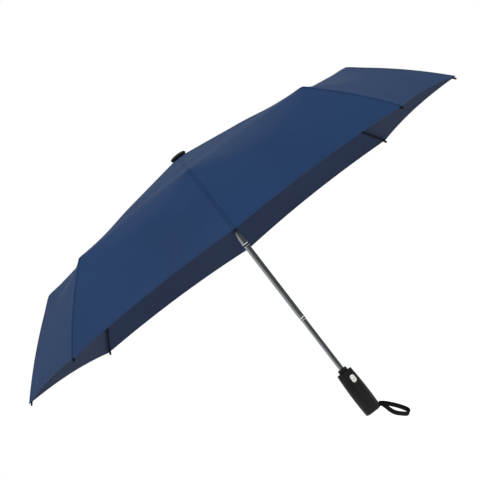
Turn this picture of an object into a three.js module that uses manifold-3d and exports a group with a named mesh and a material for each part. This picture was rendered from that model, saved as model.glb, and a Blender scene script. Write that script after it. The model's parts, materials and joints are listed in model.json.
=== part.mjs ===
// A three-section folding umbrella, standing open with its shaft drawn out.
// Millimetres. +Z runs up the shaft, from the handle's flat end (the origin) to the cap.
// Rib set 1 lies along +X and the sets are numbered anticlockwise as seen from above.
// Each rib set is drawn in its own plane: x outwards, z upwards, y across the ribs.
import * as THREE from 'three';
import { mergeVertices } from 'three/addons/utils/BufferGeometryUtils.js';
import { ParametricGeometry } from 'three/addons/geometries/ParametricGeometry.js';
import Module from 'manifold-3d';

const wasm = await Module();
wasm.setup();

// ---------------------------------------------------------------- driving dimensions
const CLEARANCE = 0.35;            // between pieces that slide or turn on each other
const RIB_SETS = 8;
const FACETS = 24;                 // sides of each round piece; a multiple of RIB_SETS

// Shaft: three steel tubes, the thinnest in the handle
const LOWER_TUBE_RADIUS = 4.6;
const TUBE_WALL = 0.45;
const LOWER_TUBE_TOP = 229;
const MIDDLE_TUBE_LENGTH = 189;
const UPPER_TUBE_LENGTH = 200.3;
const LOWER_OVERLAP = 22;          // lower tube inside the middle one when drawn out
const UPPER_OVERLAP = 22;          // middle tube inside the upper one when drawn out

// Rib linkage, measured along the ribs
const PIVOT_CIRCLE = 11;           // radius of the notch's and the runner's pivot rings
const TOP_RIB = 162;               // notch pivot to the second joint
const MIDDLE_RIB = 166.5;          // second joint to the outer joint
const TAIL_RIB = 197;              // outer joint to the tip
const RIB_SLOPE = 9.5;             // degrees below level, open
const TAIL_SLOPE = 42;             // degrees below level, open
const STRETCHER_AT = 86;           // stretcher pivot's distance out along the top rib
const STRETCHER_DROP = 4;          // how far that pivot hangs below the top rib's middle
const KNEE_OFFSET = 1.7;           // joint pivots stand this far off the rib's middle line
const ROD_REACH = 20;              // connecting rod's pivot, inboard of the second joint
const ROD_DROP = 3;                // and how far it hangs below that joint's pivot

// Rib sections
const RIB_WIDTH = 3.2;
const RIB_HEIGHT = 2.6;
const RIB_WALL = 0.5;
const STRETCHER_WIDTH = 2.4;
const STRETCHER_HEIGHT = 2.0;
const TAIL_WIDTH = 2.2;
const TAIL_HEIGHT = 2.2;
const TAIL_BOW = 5;                // how far the stretched cover bends each tail outwards
const ROD_THICKNESS = 1.0;
const CHEEK = 0.7;                 // thickness of a fork's side plates
const PIN_RADIUS = 0.7;
const PIN_SIDES = 6;
const EYE_RADIUS = 2.0;            // outside of a rib's end round its pin
const RING_WIRE_RADIUS = 0.5;
const ROOT_THICKNESS = 2.2;        // rib root that hangs on the ring wire

// Notch and runner
const FLANGE_RADIUS = 12.5;
const FLANGE_HEIGHT = 4.4;
const HUB_RADIUS = 8.7;
const NOTCH_SKIRT = 5.8;           // notch hub below its flange
const NOTCH_BELOW_TOP = 5.3;       // notch pivots below the upper tube's top
const RUNNER_BELOW = 16;           // runner sleeve below its pivot ring
const RUNNER_ABOVE = 6;
const RUNNER_FOOT_RADIUS = 10.4;
const RUNNER_FOOT_HEIGHT = 4;

// Cover
const COVER_LIFT = 4.6;            // cover above the ribs' middle line
const COVER_THICKNESS = 0.6;
const COVER_HOLE_RADIUS = 8;
const HEM_SCALLOP = 8;             // how far the hem curves in half-way between two tips
const COVER_COLUMNS = 4;           // per panel

// Spring in the tubes
const SPRING_WIRE = 0.4;
const SPRING_TURNS = 14;           // fewer than the real one

// Cap
const CAP_RADIUS = 15.6;
const CAP_HEIGHT = 7;
const CAP_FLAT_RADIUS = 4.5;
const CAP_SPIGOT = 8.5;
const CAP_RIM = 1;                 // height of its chamfered lower edge
const CAP_SIDE = 4;                // height at which the dome starts

// Handle
const GRIP_LENGTH = 89.1;
const GRIP_TOP_RADIUS = 15.0;
const GRIP_BELLY_RADIUS = 17.0;
const GRIP_BELLY_AT = 42;
const GRIP_FOOT_RADIUS = 16.2;
const GRIP_EDGE = 2.4;             // rounding of the grip's lower edge
const GRIP_BORE = 12.4;
const GRIP_ABOVE_END = 0.5;        // grip's foot above the end cap's flat face
const GRIP_TOP_EDGE = 0.8;         // chamfer of the grip's upper edge
const COLLAR_RADIUS = 8.9;
const COLLAR_TOP = 96;
const END_CAP_RADIUS = 13;
const END_CAP_THICKNESS = 2.2;
const END_CAP_SPIGOT = 3.2;

// Push button
const BUTTON_AZIMUTH = -67.5;      // degrees
const BUTTON_HEIGHT_AT = 70.5;
const BUTTON_LENGTH = 15.2;
const BUTTON_WIDTH = 9.5;
const BUTTON_FACE_AT = 17.6;       // from the shaft's axis
const BUTTON_FLANGE = 1.2;         // width of its retaining flange
const BUTTON_FLANGE_THICKNESS = 1.1;
const BUTTON_TRAVEL = 1.5;
const BEZEL_WIDTH = 2.0;
const BEZEL_FACE_AT = 17.0;
const BUTTON_SPRING_RADIUS = 3;
const BUTTON_SPRING_WIRE = 0.35;
const BUTTON_WELL = 5.7;           // depth of the spring's hole in the button's back

// Wrist strap
const STRAP_RADIUS = 1.2;          // plain stand-in for the flat webbing
const STRAP_SLOT_HEIGHT = 8.6;
const STRAP_SLOT_WIDTH = 6;
const STRAP_SLOT_AT = 6.9;
const STRAP_PIN_RADIUS = 0.8;
const STRAP_PIN_AT = 14.1;
// The strap's middle line: out of the handle, round the loop and back in
const STRAP_ROUTE = [
  [15.8, 1.6, 6.9], [19.0, 2.2, 4.6], [23.0, 3.4, 1.0], [27.2, 4.6, -3.0],
  [31.2, 5.4, -7.2], [35.2, 5.8, -11.8], [39.0, 5.8, -16.6], [42.6, 5.4, -21.6],
  [46.0, 4.4, -26.8], [48.8, 2.8, -31.6], [50.2, 0.6, -35.4], [49.8, -1.8, -38.4],
  [47.4, -3.8, -39.8], [43.8, -5.2, -38.4], [39.8, -5.9, -35.0], [35.6, -6.1, -31.2],
  [31.6, -6.0, -27.2], [28.2, -5.6, -22.6], [25.6, -5.0, -17.4], [23.8, -4.2, -11.8],
  [22.4, -3.3, -6.2], [21.0, -2.6, -1.4], [18.8, -2.0, 3.2], [15.8, -1.6, 6.9],
];

// ---------------------------------------------------------------- worked-out places
const radians = THREE.MathUtils.degToRad;
const MIDDLE_TUBE_RADIUS = LOWER_TUBE_RADIUS + CLEARANCE + TUBE_WALL;
const UPPER_TUBE_RADIUS = MIDDLE_TUBE_RADIUS + CLEARANCE + TUBE_WALL;
const MIDDLE_TUBE_FOOT = LOWER_TUBE_TOP - LOWER_OVERLAP;
const MIDDLE_TUBE_TOP = MIDDLE_TUBE_FOOT + MIDDLE_TUBE_LENGTH;
const UPPER_TUBE_FOOT = MIDDLE_TUBE_TOP - UPPER_OVERLAP;
const UPPER_TUBE_TOP = UPPER_TUBE_FOOT + UPPER_TUBE_LENGTH;
const CAP_FOOT = UPPER_TUBE_TOP + 2 * CLEARANCE;
const NOTCH_AT = UPPER_TUBE_TOP - NOTCH_BELOW_TOP;

// The button's flange lies inside the grip's bore, its corners clear of the wall
const BUTTON_BACK_AT = Math.sqrt(GRIP_BORE ** 2 - (BUTTON_WIDTH / 2 + BUTTON_FLANGE) ** 2)
  - CLEARANCE - BUTTON_FLANGE_THICKNESS;
const POCKET_FLOOR = BUTTON_BACK_AT - BUTTON_TRAVEL - 3 * CLEARANCE;

// Stretcher and top rib are equal arms, so the runner travels straight down the shaft
const ARM = Math.hypot(STRETCHER_AT, STRETCHER_DROP);
const ARM_OPEN = radians(RIB_SLOPE) + Math.atan2(STRETCHER_DROP, STRETCHER_AT);
const FOLD = Math.PI / 2 - ARM_OPEN;                 // the top rib's whole swing
const RUNNER_AT = NOTCH_AT - 2 * ARM * Math.sin(ARM_OPEN);

// A point out along a line that falls at the given slope, and above that line
const along = (slope, out, up) => new THREE.Vector2(
  out * Math.cos(slope) + up * Math.sin(slope),
  -out * Math.sin(slope) + up * Math.cos(slope),
);

// The rib set's pivots in its plane, when the top rib has swung down by `swing` radians
function pivots(swing) {
  const share = swing / FOLD;
  const slope = radians(RIB_SLOPE);
  const middleTurn = share * (Math.PI / 2 + slope);
  const notch = new THREE.Vector2(PIVOT_CIRCLE, NOTCH_AT);
  const stretcher = along(slope + swing, STRETCHER_AT, -STRETCHER_DROP).add(notch);
  const knee = along(slope + swing, TOP_RIB, KNEE_OFFSET).add(notch);
  const rod = along(slope - middleTurn, -ROD_REACH, -ROD_DROP).add(knee);
  const rise = new THREE.Vector2(Math.cos(ARM_OPEN + swing), Math.sin(ARM_OPEN + swing));
  return { notch, stretcher, knee, rod, rise };
}

// The connecting rod's other pivot sits where the rod has the same length open and folded
const open = pivots(0);
const folded = pivots(FOLD);
const openGap = open.stretcher.clone().sub(open.rod);
const foldedGap = folded.stretcher.clone().sub(folded.rod);
const ROD_BACK = (openGap.lengthSq() - foldedGap.lengthSq())
  / (2 * (open.rise.dot(openGap) - folded.rise.dot(foldedGap)));
const RUNNER_PIVOT = new THREE.Vector2(PIVOT_CIRCLE, RUNNER_AT);
const ROD_PIVOT = open.stretcher.clone().addScaledVector(open.rise, -ROD_BACK);
const ROD_LENGTH = ROD_PIVOT.distanceTo(open.rod);
const ROD_SLOPE = Math.atan2(ROD_PIVOT.y - open.rod.y, open.rod.x - ROD_PIVOT.x);
const TAIL_PIVOT = along(radians(RIB_SLOPE), TOP_RIB + MIDDLE_RIB, -KNEE_OFFSET).add(open.notch);

// ---------------------------------------------------------------- solids
function solidOf(geometry) {
  const bare = new THREE.BufferGeometry();
  bare.setAttribute('position', geometry.attributes.position);
  bare.setIndex(geometry.index);
  const merged = mergeVertices(bare, 1e-4);
  const corners = merged.index.array;
  const kept = [];
  for (let i = 0; i < corners.length; i += 3) {
    const [a, b, c] = corners.slice(i, i + 3);
    if (a !== b && b !== c && c !== a) kept.push(a, b, c);
  }
  return new wasm.Manifold(new wasm.Mesh({
    numProp: 3,
    vertProperties: new Float32Array(merged.attributes.position.array),
    triVerts: new Uint32Array(kept),
  }));
}

function geometryOf(solid) {
  const mesh = solid.getMesh();
  const geometry = new THREE.BufferGeometry();
  geometry.setAttribute('position', new THREE.BufferAttribute(mesh.vertProperties, 3));
  geometry.setIndex(new THREE.BufferAttribute(mesh.triVerts, 1));
  geometry.computeVertexNormals();
  return geometry;
}

const join = (...pieces) => geometryOf(pieces.map(solidOf).reduce((a, b) => a.add(b)));

function cut(body, ...tools) {
  return geometryOf(tools.map(solidOf).reduce((a, b) => a.subtract(b), solidOf(body)));
}

// A box from its lowest to its highest corner
function block(low, high) {
  const size = high.map((value, i) => value - low[i]);
  const middle = high.map((value, i) => (value + low[i]) / 2);
  return new THREE.BoxGeometry(...size).translate(...middle);
}

// A disc standing across the rib, round a pivot at (x, z), from y0 to y1
function disc(x, z, radius, y0, y1, sides = 8) {
  const disk = new THREE.CylinderGeometry(radius, radius, y1 - y0, sides);
  return disk.translate(x, (y0 + y1) / 2, z);
}

// A turned piece round +Z from a closed outline of [radius, height] points
function turned(outline, sides = FACETS) {
  const points = outline.map(([radius, height]) => new THREE.Vector2(radius, height));
  if (outline[0][0] > 0) points.push(points[0].clone());
  return new THREE.LatheGeometry(points, sides).rotateX(Math.PI / 2);
}

function tube(inner, outer, foot, top) {
  return turned([[inner, foot], [outer, foot], [outer, top], [inner, top]]);
}

// A round-ended bar that stands upright and runs outwards from x0 to x1
function stadium(length, width, x0, x1) {
  const reach = (length - width) / 2;
  const shape = new THREE.Shape();
  shape.absarc(reach, 0, width / 2, -Math.PI / 2, Math.PI / 2);
  shape.absarc(-reach, 0, width / 2, Math.PI / 2, 3 * Math.PI / 2);
  const bar = new THREE.ExtrudeGeometry(shape, { depth: x1 - x0, bevelEnabled: false, curveSegments: 7 });
  return bar.rotateY(Math.PI / 2).translate(x0, 0, 0);
}

// A bar along x with square corners, hollow from below when it has a wall
function channel(x0, x1, z, width, height, wall = 0) {
  const bar = block([x0, -width / 2, z - height / 2], [x1, width / 2, z + height / 2]);
  if (!wall) return bar;
  const hollow = block(
    [x0 - 1, wall - width / 2, z - height / 2 - 1],
    [x1 + 1, width / 2 - wall, z + height / 2 - wall],
  );
  return cut(bar, hollow);
}

class Helix extends THREE.Curve {
  constructor(radius, length, turns) {
    super();
    Object.assign(this, { radius, length, turns });
  }

  getPoint(t, target = new THREE.Vector3()) {
    const angle = 2 * Math.PI * this.turns * t;
    return target.set(
      this.radius * Math.cos(angle), this.radius * Math.sin(angle), this.length * t);
  }
}

// A wire or strap of an even-sided section along a path
function wireAlong(path, radius, sides, steps) {
  const points = [];
  for (let i = 0; i < sides; i += 1) {
    const angle = 2 * Math.PI * i / sides;
    points.push(new THREE.Vector2(radius * Math.cos(angle), radius * Math.sin(angle)));
  }
  const section = new THREE.Shape(points);
  return new THREE.ExtrudeGeometry(section, { steps, extrudePath: path, bevelEnabled: false });
}

// ---------------------------------------------------------------- rib pieces
const halfRib = RIB_WIDTH / 2;
const cheekInner = halfRib + CLEARANCE;
const cheekOuter = cheekInner + CHEEK;
const pinHole = PIN_RADIUS + CLEARANCE;
const wireHole = RING_WIRE_RADIUS + CLEARANCE;
const barGap = EYE_RADIUS + 1;               // from a pivot to where the full bar starts
const rodInner = cheekOuter + CLEARANCE + 0.3;
const rodOuter = rodInner + ROD_THICKNESS;

// The root that hangs on a ring wire: an eye with a short web to the bar
function rootEye(height) {
  const half = ROOT_THICKNESS / 2;
  const web = block([0, -half, -height / 2], [barGap + 2, half, height / 2]);
  const eye = join(disc(0, 0, EYE_RADIUS - 0.1, -half, half), web);
  return cut(eye, disc(0, 0, wireHole, -half - 1, half + 1, PIN_SIDES));
}

// The solid end of a rib that a fork holds, with the fork's pin hole through it
function tongue(pivotX, pivotZ, barZ) {
  const eye = disc(pivotX, pivotZ, EYE_RADIUS, -halfRib, halfRib);
  const web = block(
    [pivotX - barGap - 2, -halfRib, barZ - RIB_HEIGHT / 2],
    [pivotX, halfRib, barZ + RIB_HEIGHT / 2],
  );
  const hole = disc(pivotX, pivotZ, pinHole, -halfRib - 1, halfRib + 1, PIN_SIDES);
  return cut(join(eye, web), hole);
}

// The two cheeks round a pivot at the origin, their pin and the block that joins them
function fork(barZ, height) {
  const cheeks = [-1, 1].map((side) => {
    const [y0, y1] = side > 0 ? [cheekInner, cheekOuter] : [-cheekOuter, -cheekInner];
    const web = block([0, y0, barZ - height / 2], [barGap + 2, y1, barZ + height / 2]);
    return join(disc(0, 0, EYE_RADIUS, y0, y1), web);
  });
  const bridge = block(
    [barGap + 0.2, -cheekOuter, barZ - height / 2],
    [barGap + 3, cheekOuter, barZ + height / 2],
  );
  return join(...cheeks, bridge, disc(0, 0, PIN_RADIUS, -cheekOuter, cheekOuter, PIN_SIDES));
}

function topRib() {
  const bar = channel(barGap + 1, TOP_RIB - barGap, 0, RIB_WIDTH, RIB_HEIGHT, RIB_WALL);
  const earInner = STRETCHER_WIDTH / 2 + CLEARANCE;
  const earOuter = earInner + CHEEK;
  const ears = [[earInner, earOuter], [-earOuter, -earInner]].map(([y0, y1]) => block(
    [STRETCHER_AT - 2, y0, -STRETCHER_DROP - 1.6],
    [STRETCHER_AT + 2, y1, RIB_HEIGHT / 2],
  ));
  const pin = disc(STRETCHER_AT, -STRETCHER_DROP, PIN_RADIUS, -earOuter, earOuter, PIN_SIDES);
  return join(rootEye(RIB_HEIGHT), bar, ...ears, pin, tongue(TOP_RIB, KNEE_OFFSET, 0));
}

function stretcher() {
  const half = ROOT_THICKNESS / 2;
  const bar = channel(
    barGap + 1, ARM - barGap, 0, STRETCHER_WIDTH, STRETCHER_HEIGHT, RIB_WALL);
  const web = block([ARM - barGap - 2, -half, -1], [ARM, half, 1]);
  const end = cut(
    join(disc(ARM, 0, EYE_RADIUS - 0.1, -half, half), web),
    disc(ARM, 0, pinHole, -half - 1, half + 1, PIN_SIDES),
  );
  const boss = block([ARM - ROD_BACK - 2, -1, -1], [ARM - ROD_BACK + 2, 1, 1]);
  const stud = disc(ARM - ROD_BACK, 0, PIN_RADIUS, 0, rodOuter + 0.4, PIN_SIDES);
  return join(rootEye(STRETCHER_HEIGHT), bar, end, boss, stud);
}

// The rod that turns the middle rib; its far eye lies beside the middle rib's stud
function connectingRod() {
  const half = ROD_THICKNESS / 2;
  const nearEye = cut(
    disc(0, 0, EYE_RADIUS, rodInner, rodOuter),
    disc(0, 0, pinHole, rodInner - 1, rodOuter + 1, PIN_SIDES),
  );
  const rod = block([EYE_RADIUS - 0.5, rodInner, -half], [ROD_LENGTH - 1, rodOuter, half]);
  return join(nearEye, rod, disc(ROD_LENGTH, 0, EYE_RADIUS - 0.2, rodInner, rodOuter));
}

function middleRib() {
  const barZ = -KNEE_OFFSET;
  const bar = channel(barGap + 2, MIDDLE_RIB - barGap, barZ, RIB_WIDTH, RIB_HEIGHT, RIB_WALL);
  const armLength = Math.hypot(ROD_REACH, ROD_DROP);
  const arm = block([0, cheekInner, -1.3], [armLength, cheekOuter, 1.3]);
  arm.rotateY(Math.PI - Math.atan2(ROD_DROP, ROD_REACH));
  const studHead = disc(-ROD_REACH, -ROD_DROP, EYE_RADIUS - 0.4, cheekInner, rodInner - 0.3);
  return join(
    fork(barZ, RIB_HEIGHT), bar, arm, studHead,
    tongue(MIDDLE_RIB, -2 * KNEE_OFFSET, barZ),
  );
}

// How far the tail's bow stands out at a distance along it: a parabola
const tailBow = (out) => 4 * TAIL_BOW * (out / TAIL_RIB) * (1 - out / TAIL_RIB);

function bowed(geometry) {
  const corners = geometry.attributes.position;
  for (let i = 0; i < corners.count; i += 1) {
    corners.setZ(i, corners.getZ(i) + tailBow(corners.getX(i)));
  }
  return geometry;
}

function tailRib() {
  const start = barGap + 2;
  const length = TAIL_RIB - 6 - start;
  const bar = new THREE.BoxGeometry(length, TAIL_WIDTH, TAIL_HEIGHT, 8, 1, 1)
    .translate(start + length / 2, 0, KNEE_OFFSET);
  const tip = block(
    [TAIL_RIB - 7, -1.5, KNEE_OFFSET - 1.5], [TAIL_RIB, 1.5, KNEE_OFFSET + 1.5]);
  return join(fork(KNEE_OFFSET, RIB_HEIGHT), bowed(bar), bowed(tip));
}

// ---------------------------------------------------------------- notch, runner and cap
// Eight slots let the rib roots into a flange whose rim groove carries the ring wire
function slotted(body, height) {
  const slots = [];
  for (let i = 0; i < RIB_SETS; i += 1) {
    const half = ROOT_THICKNESS / 2 + 0.4;
    const slot = block(
      [HUB_RADIUS, -half, height - FLANGE_HEIGHT / 2 - 0.5],
      [FLANGE_RADIUS + 1, half, height + FLANGE_HEIGHT / 2 + 0.5],
    );
    slots.push(slot.rotateZ(2 * Math.PI * i / RIB_SETS));
  }
  return cut(body, ...slots);
}

function flangeOutline(height) {
  const half = FLANGE_HEIGHT / 2;
  const groove = RING_WIRE_RADIUS + CLEARANCE;
  const grooveFloor = PIVOT_CIRCLE - groove;
  return [
    [FLANGE_RADIUS, height - half], [FLANGE_RADIUS, height - groove],
    [grooveFloor, height - groove], [grooveFloor, height + groove],
    [FLANGE_RADIUS, height + groove], [FLANGE_RADIUS, height + half],
  ];
}

function topNotch() {
  const foot = NOTCH_AT - FLANGE_HEIGHT / 2 - NOTCH_SKIRT;
  const top = NOTCH_AT + FLANGE_HEIGHT / 2;
  const bore = UPPER_TUBE_RADIUS + CLEARANCE;
  return slotted(turned([
    [bore, foot], [HUB_RADIUS, foot], [HUB_RADIUS, NOTCH_AT - FLANGE_HEIGHT / 2],
    ...flangeOutline(NOTCH_AT), [bore, top],
  ]), NOTCH_AT);
}

function runner() {
  const sleeve = HUB_RADIUS - 0.1;
  const foot = RUNNER_AT - RUNNER_BELOW;
  const top = RUNNER_AT + RUNNER_ABOVE;
  const bore = UPPER_TUBE_RADIUS + CLEARANCE;
  return slotted(turned([
    [bore, foot], [RUNNER_FOOT_RADIUS, foot], [RUNNER_FOOT_RADIUS, foot + RUNNER_FOOT_HEIGHT],
    [sleeve, foot + RUNNER_FOOT_HEIGHT], [sleeve, RUNNER_AT - FLANGE_HEIGHT / 2],
    ...flangeOutline(RUNNER_AT), [sleeve, RUNNER_AT + FLANGE_HEIGHT / 2], [sleeve, top],
    [bore, top],
  ]), RUNNER_AT);
}

function ringWire(height) {
  const ring = new THREE.TorusGeometry(PIVOT_CIRCLE, RING_WIRE_RADIUS, 6, FACETS);
  return ring.translate(0, 0, height);
}

function ferruleCap() {
  const top = CAP_FOOT + CAP_HEIGHT;
  const spigot = UPPER_TUBE_RADIUS - TUBE_WALL - CLEARANCE;
  const outline = [[0, CAP_FOOT - CAP_SPIGOT], [spigot, CAP_FOOT - CAP_SPIGOT], [spigot, CAP_FOOT]];
  outline.push([CAP_RADIUS - CAP_RIM, CAP_FOOT]);
  outline.push([CAP_RADIUS, CAP_FOOT + CAP_RIM]);
  const shoulder = new THREE.EllipseCurve(
    CAP_FLAT_RADIUS, CAP_FOOT + CAP_SIDE, CAP_RADIUS - CAP_FLAT_RADIUS, CAP_HEIGHT - CAP_SIDE,
    0, Math.PI / 2);
  shoulder.getPoints(5).forEach((point) => outline.push([point.x, point.y]));
  outline.push([0, top]);
  return turned(outline);
}

// ---------------------------------------------------------------- cover
// The line that the cover follows over one rib: [radius, height] at a distance out,
// straight to the outer joint and then down the bowed tail, `lift` above the ribs' middle line
const kneeOut = TOP_RIB + MIDDLE_RIB;
function coverOverRib(out, lift) {
  const slope = radians(RIB_SLOPE);
  const tailSlope = radians(TAIL_SLOPE);
  const corner = along(slope, kneeOut, 0).add(open.notch);
  const spread = lift * Math.tan((tailSlope - slope) / 2);
  if (out <= kneeOut) {
    const reach = Math.max(out - kneeOut, -kneeOut) + spread * out / kneeOut;
    return along(slope, reach, lift).add(corner);
  }
  return along(tailSlope, out - kneeOut - spread, lift + tailBow(out - kneeOut)).add(corner);
}

function cover() {
  const half = COVER_THICKNESS / 2;
  const start = COVER_HOLE_RADIUS - PIVOT_CIRCLE;
  const shares = (count, from, to) => Array.from(
    { length: count }, (_, i) => from + (to - from) * (i + 1) / count);
  const rows = [start, ...shares(6, start, kneeOut), ...shares(4, kneeOut, kneeOut + TAIL_RIB)];
  const loop = 2 * rows.length;
  const columns = COVER_COLUMNS * RIB_SETS;
  // v walks the upper face from the hole to the hem and the lower face back again
  const surface = (u, v, target) => {
    const row = Math.round(v * loop) % loop;
    const upper = row < rows.length;
    const station = rows[upper ? row : loop - 1 - row];
    const column = Math.round(u * columns) % columns;
    const panel = Math.floor(column / COVER_COLUMNS);
    const share = (column % COVER_COLUMNS) / COVER_COLUMNS;
    const hem = Math.max(0, (station - kneeOut) / TAIL_RIB);
    const out = station - 4 * HEM_SCALLOP * share * (1 - share) * hem;
    const point = coverOverRib(out, COVER_LIFT + (upper ? half : -half));
    const left = -2 * Math.PI * panel / RIB_SETS;
    const right = -2 * Math.PI * (panel + 1) / RIB_SETS;
    target.set(
      point.x * (Math.cos(left) * (1 - share) + Math.cos(right) * share),
      point.x * (Math.sin(left) * (1 - share) + Math.sin(right) * share),
      point.y,
    );
  };
  return join(new ParametricGeometry(surface, columns, loop));
}

// ---------------------------------------------------------------- handle
const outwards = (geometry) => geometry.translate(0, 0, BUTTON_HEIGHT_AT)
  .rotateZ(radians(BUTTON_AZIMUTH));

function grip() {
  const belly = new THREE.CatmullRomCurve3([
    new THREE.Vector3(GRIP_FOOT_RADIUS, GRIP_EDGE + 1, 0),
    new THREE.Vector3((GRIP_FOOT_RADIUS + GRIP_BELLY_RADIUS) / 2 + 0.2, GRIP_BELLY_AT * 0.4, 0),
    new THREE.Vector3(GRIP_BELLY_RADIUS, GRIP_BELLY_AT, 0),
    new THREE.Vector3(GRIP_TOP_RADIUS + 0.9, GRIP_LENGTH - 16, 0),
    new THREE.Vector3(GRIP_TOP_RADIUS, GRIP_LENGTH - GRIP_TOP_EDGE, 0),
  ]);
  const recess = END_CAP_RADIUS + CLEARANCE;
  const recessTop = END_CAP_THICKNESS + CLEARANCE;
  const outline = [[recess, GRIP_ABOVE_END], [GRIP_FOOT_RADIUS - GRIP_EDGE, GRIP_ABOVE_END]];
  outline.push([GRIP_FOOT_RADIUS - GRIP_EDGE * 0.3, GRIP_ABOVE_END + GRIP_EDGE * 0.35]);
  belly.getPoints(5).forEach((point) => outline.push([point.x, point.y]));
  outline.push([GRIP_TOP_RADIUS - GRIP_TOP_EDGE, GRIP_LENGTH], [GRIP_BORE, GRIP_LENGTH]);
  outline.push([GRIP_BORE, recessTop], [recess, recessTop]);
  const bezel = outwards(stadium(
    BUTTON_LENGTH + 2 * BEZEL_WIDTH, BUTTON_WIDTH + 2 * BEZEL_WIDTH,
    GRIP_BORE + 0.6, BEZEL_FACE_AT));
  const window = outwards(stadium(
    BUTTON_LENGTH + 2 * CLEARANCE, BUTTON_WIDTH + 2 * CLEARANCE, 8, BUTTON_FACE_AT + 2));
  const low = STRAP_SLOT_AT - STRAP_SLOT_HEIGHT / 2;
  const strapSlot = block(
    [GRIP_BORE - 1, -STRAP_SLOT_WIDTH / 2, low],
    [GRIP_BELLY_RADIUS + 2, STRAP_SLOT_WIDTH / 2, low + STRAP_SLOT_HEIGHT],
  );
  const pinSocket = new THREE.CylinderGeometry(
    STRAP_PIN_RADIUS + CLEARANCE, STRAP_PIN_RADIUS + CLEARANCE, STRAP_SLOT_HEIGHT + 5, 8);
  pinSocket.rotateX(Math.PI / 2).translate(STRAP_PIN_AT, 0, STRAP_SLOT_AT + 2.5);
  return cut(join(turned(outline), bezel), window, strapSlot, pinSocket);
}

function strapPin() {
  const pin = new THREE.CylinderGeometry(
    STRAP_PIN_RADIUS, STRAP_PIN_RADIUS, STRAP_SLOT_HEIGHT + 4, 8);
  return pin.rotateX(Math.PI / 2).translate(STRAP_PIN_AT, 0, STRAP_SLOT_AT + 2.3);
}

// The core carries the lower tube, closes the grip's top and guides the button
function handleCore() {
  const outer = GRIP_BORE - CLEARANCE;
  const bore = LOWER_TUBE_RADIUS + CLEARANCE;
  const waist = bore + 3;
  const foot = END_CAP_THICKNESS + END_CAP_SPIGOT + 1;
  const deck = GRIP_LENGTH - GRIP_TOP_EDGE;
  const pocketHalfWidth = BUTTON_WIDTH / 2 + BUTTON_FLANGE + 2 * CLEARANCE;
  const pocketHalfLength = BUTTON_LENGTH / 2 + BUTTON_FLANGE + 2 * CLEARANCE;
  const pocketFoot = BUTTON_HEIGHT_AT - pocketHalfLength;
  const body = turned([
    [bore, foot], [outer, foot], [outer, foot + 6], [waist, foot + 6],
    [waist, pocketFoot - 6], [outer, pocketFoot - 4], [outer, deck], [COLLAR_RADIUS, deck],
    [COLLAR_RADIUS, COLLAR_TOP - 1.2], [COLLAR_RADIUS - 1.2, COLLAR_TOP], [bore, COLLAR_TOP],
  ]);
  const pocket = outwards(block(
    [POCKET_FLOOR, -pocketHalfWidth, -pocketHalfLength],
    [GRIP_BORE + 2, pocketHalfWidth, pocketHalfLength],
  ));
  return cut(body, pocket);
}

function endCap() {
  const spigot = GRIP_BORE - CLEARANCE;
  const rim = END_CAP_THICKNESS;
  return turned([
    [0, 0], [END_CAP_RADIUS - 0.6, 0], [END_CAP_RADIUS, 0.6], [END_CAP_RADIUS, rim],
    [spigot, rim], [spigot, rim + END_CAP_SPIGOT], [spigot - 2, rim + END_CAP_SPIGOT],
    [spigot - 2, rim], [0, rim],
  ]);
}

function pushButton() {
  const face = stadium(BUTTON_LENGTH, BUTTON_WIDTH, BUTTON_BACK_AT + 0.5, BUTTON_FACE_AT);
  const flange = stadium(
    BUTTON_LENGTH + 2 * BUTTON_FLANGE, BUTTON_WIDTH + 2 * BUTTON_FLANGE,
    BUTTON_BACK_AT, BUTTON_BACK_AT + BUTTON_FLANGE_THICKNESS);
  const well = new THREE.CylinderGeometry(
    BUTTON_SPRING_RADIUS + 1, BUTTON_SPRING_RADIUS + 1, 2 * BUTTON_WELL, 12);
  well.rotateZ(Math.PI / 2).translate(BUTTON_BACK_AT, 0, 0);
  return outwards(cut(join(face, flange), well));
}

function buttonSpring() {
  const gap = CLEARANCE + BUTTON_SPRING_WIRE;
  const length = BUTTON_BACK_AT + BUTTON_WELL - POCKET_FLOOR - 2 * gap;
  const coil = wireAlong(new Helix(BUTTON_SPRING_RADIUS, length, 3.5), BUTTON_SPRING_WIRE, 4, 28);
  return outwards(coil.rotateY(Math.PI / 2).translate(POCKET_FLOOR + gap, 0, 0));
}

function mainSpring() {
  const foot = END_CAP_THICKNESS + END_CAP_SPIGOT + 5 * SPRING_WIRE;
  const top = CAP_FOOT - CAP_SPIGOT - 4 * SPRING_WIRE;
  const radius = LOWER_TUBE_RADIUS - TUBE_WALL - CLEARANCE - 1.5 * SPRING_WIRE;
  const path = new Helix(radius, top - foot, SPRING_TURNS);
  const coil = wireAlong(path, SPRING_WIRE, 4, SPRING_TURNS * 6);
  return coil.translate(0, 0, foot);
}

function wristStrap() {
  const points = STRAP_ROUTE.map((point) => new THREE.Vector3(...point));
  return wireAlong(new THREE.CatmullRomCurve3(points), STRAP_RADIUS, 8, 34);
}

// ---------------------------------------------------------------- materials
const material = (color, roughness, metalness) => new THREE.MeshStandardMaterial(
  { color, roughness, metalness });
const FABRIC = material(0x2c4068, 0.85, 0);
const CHROME = material(0xc8c9cc, 0.18, 1);
const RIB_STEEL = material(0x8f9296, 0.35, 1);
const BLACK_STEEL = material(0x1b1c1e, 0.45, 0.6);
const BLACK_NYLON = material(0x17181a, 0.5, 0);
const SOFT_TOUCH = material(0x1c1c1e, 0.75, 0);
const BUTTON_WHITE = material(0xecebe2, 0.3, 0);
const WEBBING = material(0x121214, 0.9, 0);
const SPRING_STEEL = material(0x9c9ea2, 0.3, 1);

// ---------------------------------------------------------------- assembly
const umbrella = new THREE.Group();

function add(name, geometry, finish, parent = umbrella) {
  const mesh = new THREE.Mesh(geometry, finish);
  mesh.name = name;
  parent.add(mesh);
  return mesh;
}

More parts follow.
